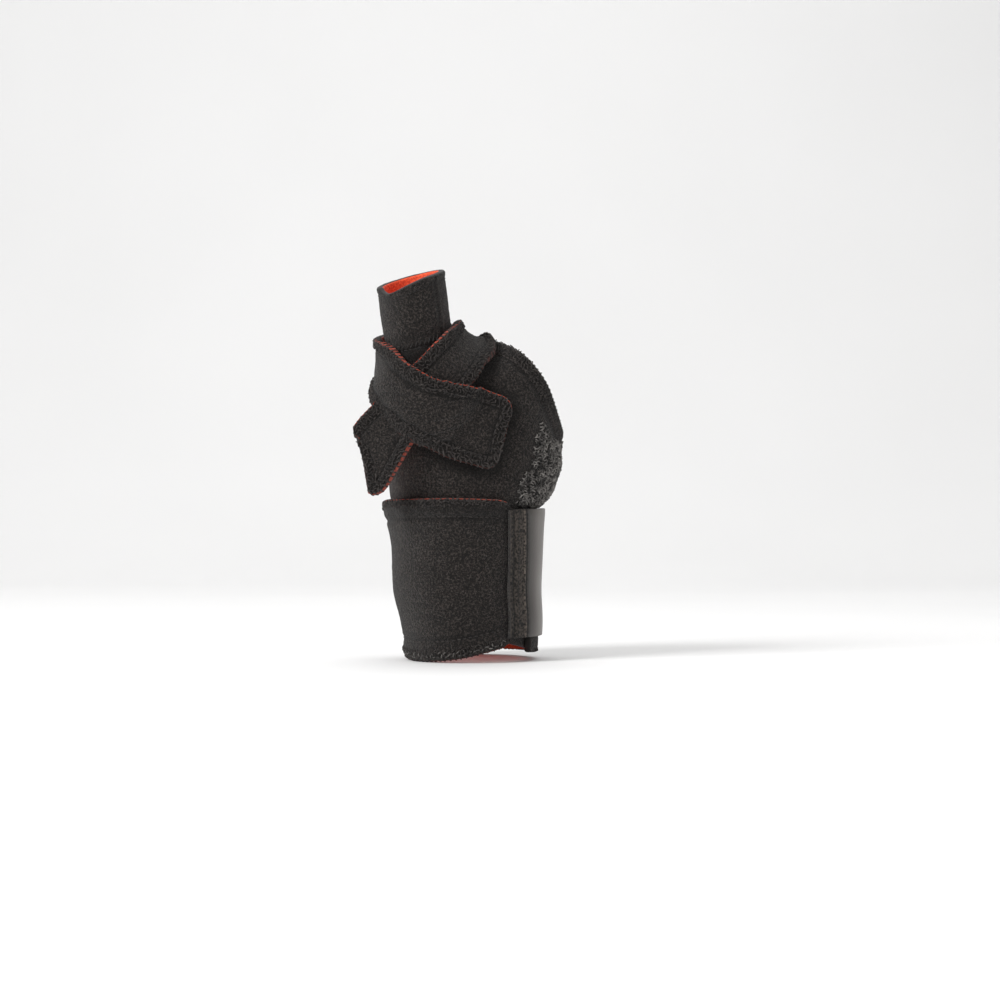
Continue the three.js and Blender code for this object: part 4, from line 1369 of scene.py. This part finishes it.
def tuft_group() -> bpy.types.NodeTree:
    """Build the shared group for tufts of looped yarn, darker in their hollows and lighter on their
    tops, with painted glints.

    Returns:
        A group that gives a colour and a height over the surface.
    """
    tree = bpy.data.node_groups.new("Looped tufts", "ShaderNodeTree")
    number, color = "NodeSocketFloat", "NodeSocketColor"
    kinds = {"Grain": number, "Sparkle": number, "Dark": color, "Middle": color, "Light": color}
    for name, kind in kinds.items():
        tree.interface.new_socket(name, in_out="INPUT", socket_type=kind)
    for name, kind in (("Color", color), ("Height", number)):
        tree.interface.new_socket(name, in_out="OUTPUT", socket_type=kind)
    graph = Graph(tree)
    given = tree.nodes.new("NodeGroupInput").outputs
    grains = graph.noise(given["Grain"], detail=3.0, rough=0.6)
    fibres = graph.noise(graph.math("MULTIPLY", given["Grain"], 2.6))
    height = graph.math("ADD", grains, graph.span(fibres, 0.2, 0.8, -0.22, 0.22))
    # Colour follows the tufts' height: dark in the hollows, partly the yarn's own mottling and
    # partly painted shade; the sparks are painted glints on the highest tops.
    lit = graph.ramp(height, [(0.38, 0.0), (0.58, 1.0)])
    sparks = graph.ramp(height, [(0.52, 0.0), (0.7, 1.0)])
    sparks = graph.math("MULTIPLY", sparks, given["Sparkle"])
    shade = graph.ramp(graph.noise(130.0, detail=3.0), [(0.3, 0.75), (0.7, 1.0)])
    tufts = graph.mix_colors(lit, given["Dark"], given["Middle"])
    tufts = graph.mix_colors(sparks, tufts, given["Light"])
    shaded = graph.mix_colors(1.0, tufts, shade, "MULTIPLY")
    graph.feed(tree.nodes.new("NodeGroupOutput"), {"Color": shaded, "Height": height})
    return tree


def principled(name: str) -> tuple[bpy.types.Material, Graph, bpy.types.Node]:
    """Start a material.

    Args:
        name: the material's name.

    Returns:
        The material, its graph and its shader node.
    """
    material = bpy.data.materials.new(name)
    material.use_nodes = True
    shader = material.node_tree.nodes["Principled BSDF"]
    return material, Graph(material.node_tree), shader


@dataclass(frozen=True)
class LoopedPile:
    """Dark brushed cloth of looped yarn, its orange core bare along some cut edges, with painted
    shade and painted glints.
    """

    name: str = "looped_pile"
    dark: tuple[int, int, int] = (11, 9, 8)
    middle: tuple[int, int, int] = (37, 31, 28)
    # light and raised_light are the colours of the painted glints on the tufts' tops, on flat and
    # on raised loops.
    light: tuple[int, int, int] = (80, 74, 70)
    raised_light: tuple[int, int, int] = (58, 52, 49)
    core: tuple[int, int, int] = (188, 80, 58)
    grain: float = 1200.0

    def make(self, tufts: bpy.types.NodeTree) -> bpy.types.Material:
        """Build the material."""
        material, graph, shader = principled(self.name)
        rough, hem, orange, shade = map(graph.attribute, ("rough", "hem", "orange", "shade"))
        dark = linear(*self.dark)
        flat, raised = (graph.add("Group", node_tree=tufts) for _ in range(2))
        for group, grain, sparkle, light in (
            (flat, self.grain, 0.8, self.light),
            (raised, 0.8 * self.grain, 1.0, self.raised_light),
        ):
            tones = {"Dark": dark, "Middle": linear(*self.middle), "Light": linear(*light)}
            graph.feed(group, {"Grain": grain, "Sparkle": sparkle, **tones})
        color = graph.mix_colors(rough, flat.outputs["Color"], raised.outputs["Color"])
        # Painted shade: the shade attribute darkens the colour towards the dark tone.
        color = graph.mix_colors(graph.span(shade, 0.0, 1.0, 0.0, 0.85), color, dark)
        frayed = graph.span(graph.noise(900.0), 0.35, 0.65, -0.12, 0.12)
        bare = graph.span(graph.math("ADD", hem, frayed), 0.34, 0.1)
        color = graph.mix_colors(graph.math("MULTIPLY", bare, orange), color, linear(*self.core))
        graph.feed(shader, {
            "Base Color": color,
            "Normal": graph.bump(flat.outputs["Height"], 1.0, 0.0009),
            "Roughness": 0.9,
            "Specular IOR Level": 0.2,
            "Sheen Weight": 0.12,
            "Sheen Roughness": 0.5,
        })
        return material


@dataclass(frozen=True)
class KnitLining:
    """Bright fine-knit lining, or the cut edge, dark where no core shows."""

    name: str = "knit_lining"
    bright: tuple[int, int, int] = (250, 104, 62)
    deep: tuple[int, int, int] = (205, 66, 36)
    hidden: tuple[int, int, int] = (24, 20, 18)
    grain: float = 1400.0
    at_edge: bool = False

    def make(self) -> bpy.types.Material:
        """Build the material."""
        material, graph, shader = principled(self.name)
        knit = graph.noise(self.grain)
        factor = graph.ramp(knit, [(0.35, 0.0), (0.65, 1.0)])
        color = graph.mix_colors(factor, linear(*self.deep), linear(*self.bright))
        if self.at_edge:
            inner = graph.span(graph.attribute("lining"), 0.05, 0.25)
            shown = graph.math("MULTIPLY", inner, graph.span(knit, 0.3, 0.5, 0.3, 1.0))
            shown = graph.math("MULTIPLY", shown, graph.attribute("orange"))
            color = graph.mix_colors(shown, linear(*self.hidden), color)
        graph.feed(shader, {
            "Base Color": color,
            "Normal": graph.bump(knit, 0.5, 0.0003),
            "Roughness": 0.8,
            "Sheen Weight": 0.1,
        })
        return material


@dataclass(frozen=True)
class SewingThread:
    """Spun thread with fine twist."""

    name: str
    dark: tuple[int, int, int] = (20, 17, 16)
    light: tuple[int, int, int] = (64, 58, 55)
    grain: float = 700.0

    def make(self) -> bpy.types.Material:
        """Build the material."""
        material, graph, shader = principled(self.name)
        twist = graph.noise(self.grain)
        factor = graph.ramp(twist, [(0.35, 0.0), (0.7, 1.0)])
        graph.feed(shader, {
            "Base Color": graph.mix_colors(factor, linear(*self.dark), linear(*self.light)),
            "Normal": graph.bump(twist, 0.6, 0.0002),
            "Roughness": 0.65,
        })
        return material


@dataclass(frozen=True)
class SmoothTape:
    """Smooth grey closure tape, matt and dark along its sewn end, with painted shade and highlight
    at the ridge and grooves there, and painted light growing towards its far end.
    """

    name: str = "smooth_tape"
    # The panel runs from the smooth tone by the sewn end to the far tone, a painted highlight where
    # the light catches its far end.
    smooth: tuple[int, int, int] = (37, 33, 31)
    far: tuple[int, int, int] = (88, 82, 77)
    sewn: tuple[int, int, int] = (47, 42, 38)
    hem: float = 6.6
    first_stitches: float = 1.9

    def _painted_line(
        self, graph: Graph, hem: bpy.types.NodeSocket, at: float, *limits: float
    ) -> bpy.types.NodeSocket:
        """Give a painted tone along a line at a distance from the sewn end: painted shade in a
        groove, painted highlight on a ridge.

        Args:
            graph: the material's graph.
            hem: the distance from the sewn end.
            at: where the line runs.
            limits: how far from it the change starts and ends, and the tone on it and off it.

        Returns:
            The tone.
        """
        away = graph.math("ABSOLUTE", graph.math("SUBTRACT", hem, at))
        return graph.span(away, *limits)

    def make(self) -> bpy.types.Material:
        """Build the material."""
        material, graph, shader = principled(self.name)
        hem = graph.attribute("hem")
        inner = graph.span(hem, self.hem + 1.4, self.hem + 2.2)
        bare = graph.math("MAXIMUM", inner, graph.span(hem, 0.4, 0.2))
        grain = graph.noise(1000.0, detail=3.0)
        tone = graph.ramp(graph.noise(60.0), [(0.3, 0.85), (0.7, 1.0)])
        # Painted shade in the groove beyond the hem's ridge and in the first stitches' groove, and
        # a painted highlight on the hem's ridge.
        for line in (
            (self.hem + 1.0, 0.5, 0.9, 0.2, 1.0),
            (self.first_stitches, 0.2, 0.5, 0.35, 1.0),
            (self.hem - 0.2, 0.2, 0.6, 1.9, 1.0),
        ):
            tone = graph.math("MULTIPLY", tone, self._painted_line(graph, hem, *line))
        speck = graph.ramp(grain, [(0.38, 0.15), (0.62, 2.3)])
        matt = graph.mix_colors(1.0, linear(*self.sewn), speck, "MULTIPLY")
        # Painted light: the smooth panel is painted lighter towards its far end.
        away = graph.span(hem, self.hem + 1.5, self.hem + 9.0)
        panel = graph.mix_colors(away, linear(*self.smooth), linear(*self.far))
        color = graph.mix_colors(bare, matt, panel)
        height = graph.math("MULTIPLY", grain, graph.span(bare, 0.0, 1.0, 1.0, 0.25))
        graph.feed(shader, {
            "Base Color": graph.mix_colors(1.0, color, tone, "MULTIPLY"),
            "Roughness": graph.span(bare, 0.0, 1.0, 0.9, 0.38),
            "Normal": graph.bump(height, 0.8, 0.0003),
        })
        return material


def make_finishes() -> Finishes:
    """Build every finish once."""
    return Finishes(
        pile=LoopedPile().make(tuft_group()),
        lining=KnitLining().make(),
        cut_edge=KnitLining("cut_edge", (216, 86, 54), (130, 44, 28), at_edge=True).make(),
        thread=SewingThread("serging_thread").make(),
        dark_thread=SewingThread("dark_thread", (10, 9, 9), (34, 30, 28)).make(),
        loop_yarn=SewingThread("loop_yarn", (16, 14, 13), (140, 136, 132), 380.0).make(),
        tape=SmoothTape().make(),
    )


@dataclass
class Studio:
    """A pale floor that sweeps up behind, soft light, and the camera."""

    floor_height: float = -3.4
    half_width: float = 9000.0
    front: float = -9000.0
    bend: float = 900.0
    bend_radius: float = 600.0
    wall: float = 1600.0
    floor_rows: int = 300
    camera_place: tuple[float, float, float] = (0.0129, -1.070, 0.0645)
    lens: float = 90.0
    world_strength: float = 0.38

    def _sweep(self) -> bpy.types.Object:
        """Make the floor and backdrop as one bent sheet."""
        bm = bmesh.new()
        grid = bmesh.ops.create_grid(
            bm, x_segments=2, y_segments=self.floor_rows, size=1.0
        )["verts"]
        flat = self.bend - self.front
        arc = self.bend_radius * math.pi / 2
        total = flat + arc + self.wall
        for vert in grid:
            run = (vert.co.y + 1) / 2 * total
            turn = min(max((run - flat) / self.bend_radius, 0.0), math.pi / 2)
            y = self.front + min(run, flat) + self.bend_radius * math.sin(turn)
            z = self.bend_radius * (1 - math.cos(turn)) + max(run - flat - arc, 0.0)
            vert.co = (vert.co.x * self.half_width * MM, y * MM, (self.floor_height + z) * MM)
        for face in bm.faces:
            face.smooth = True
        mesh = bpy.data.meshes.new("studio_sweep")
        bm.to_mesh(mesh)
        bm.free()
        material, graph, shader = principled("pale_paper")
        tone = graph.ramp(graph.noise(3.0), [(0.3, 0.9), (0.7, 0.93)])
        graph.feed(shader, {"Base Color": tone, "Roughness": 0.9})
        mesh.materials.append(material)
        sweep = bpy.data.objects.new("studio_sweep", mesh)
        bpy.context.scene.collection.objects.link(sweep)
        return sweep

    def _light(
        self, name: str, place: tuple[float, float, float], size: float, power: float
    ) -> None:
        """Add a soft square light aimed at the wrap's middle."""
        lamp = bpy.data.lights.new(name, "AREA")
        lamp.size = size
        lamp.energy = power
        holder = bpy.data.objects.new(name, lamp)
        holder.location = place
        aim = Vector((0.0, 0.0, 0.08)) - holder.location
        holder.rotation_euler = aim.to_track_quat("-Z", "Y").to_euler()
        bpy.context.scene.collection.objects.link(holder)

    def build(self) -> bpy.types.Object:
        """Make the floor, the lights and the camera."""
        sweep = self._sweep()
        self._light("key", (-1.0, -0.85, 0.95), size=0.55, power=20.0)
        self._light("fill", (1.1, -0.5, 0.35), size=0.8, power=3.2)
        self._light("top", (0.1, 0.5, 1.4), size=1.2, power=9.0)
        world = bpy.context.scene.world or bpy.data.worlds.new("studio")
        bpy.context.scene.world = world
        world.use_nodes = True
        background = world.node_tree.nodes["Background"]
        background.inputs["Color"].default_value = (1.0, 0.99, 0.98, 1.0)
        background.inputs["Strength"].default_value = self.world_strength
        lens = bpy.data.cameras.new("camera")
        lens.lens = self.lens
        lens.sensor_width = 36.0
        lens.clip_start = 0.01
        camera = bpy.data.objects.new("camera", lens)
        camera.location = self.camera_place
        camera.rotation_euler = (math.pi / 2, 0.0, 0.0)
        bpy.context.scene.collection.objects.link(camera)
        bpy.context.scene.camera = camera
        return sweep


def main() -> None:
    """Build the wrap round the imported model, and the studio."""
    logging.basicConfig(level=logging.INFO, format="%(name)s: %(message)s")
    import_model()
    scene = bpy.context.scene
    scene.view_settings.view_transform = "Standard"
    Studio().build()
    finishes = make_finishes()
    form = FitForm()
    body = HandBody(form, finishes)
    assemblies = [
        body,
        ThumbSleeve(body),
        WristBand(form, finishes),
        ClosureTab(form, finishes),
        ThumbStrap(form, finishes),
    ]
    for assembly in assemblies:
        for made in assembly.build():
            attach(made.piece, "root")
            if made.replaces:
                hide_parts(made.replaces)
            LOG.info("made %s", made.piece.name)


if __name__ == "__main__":
    main()
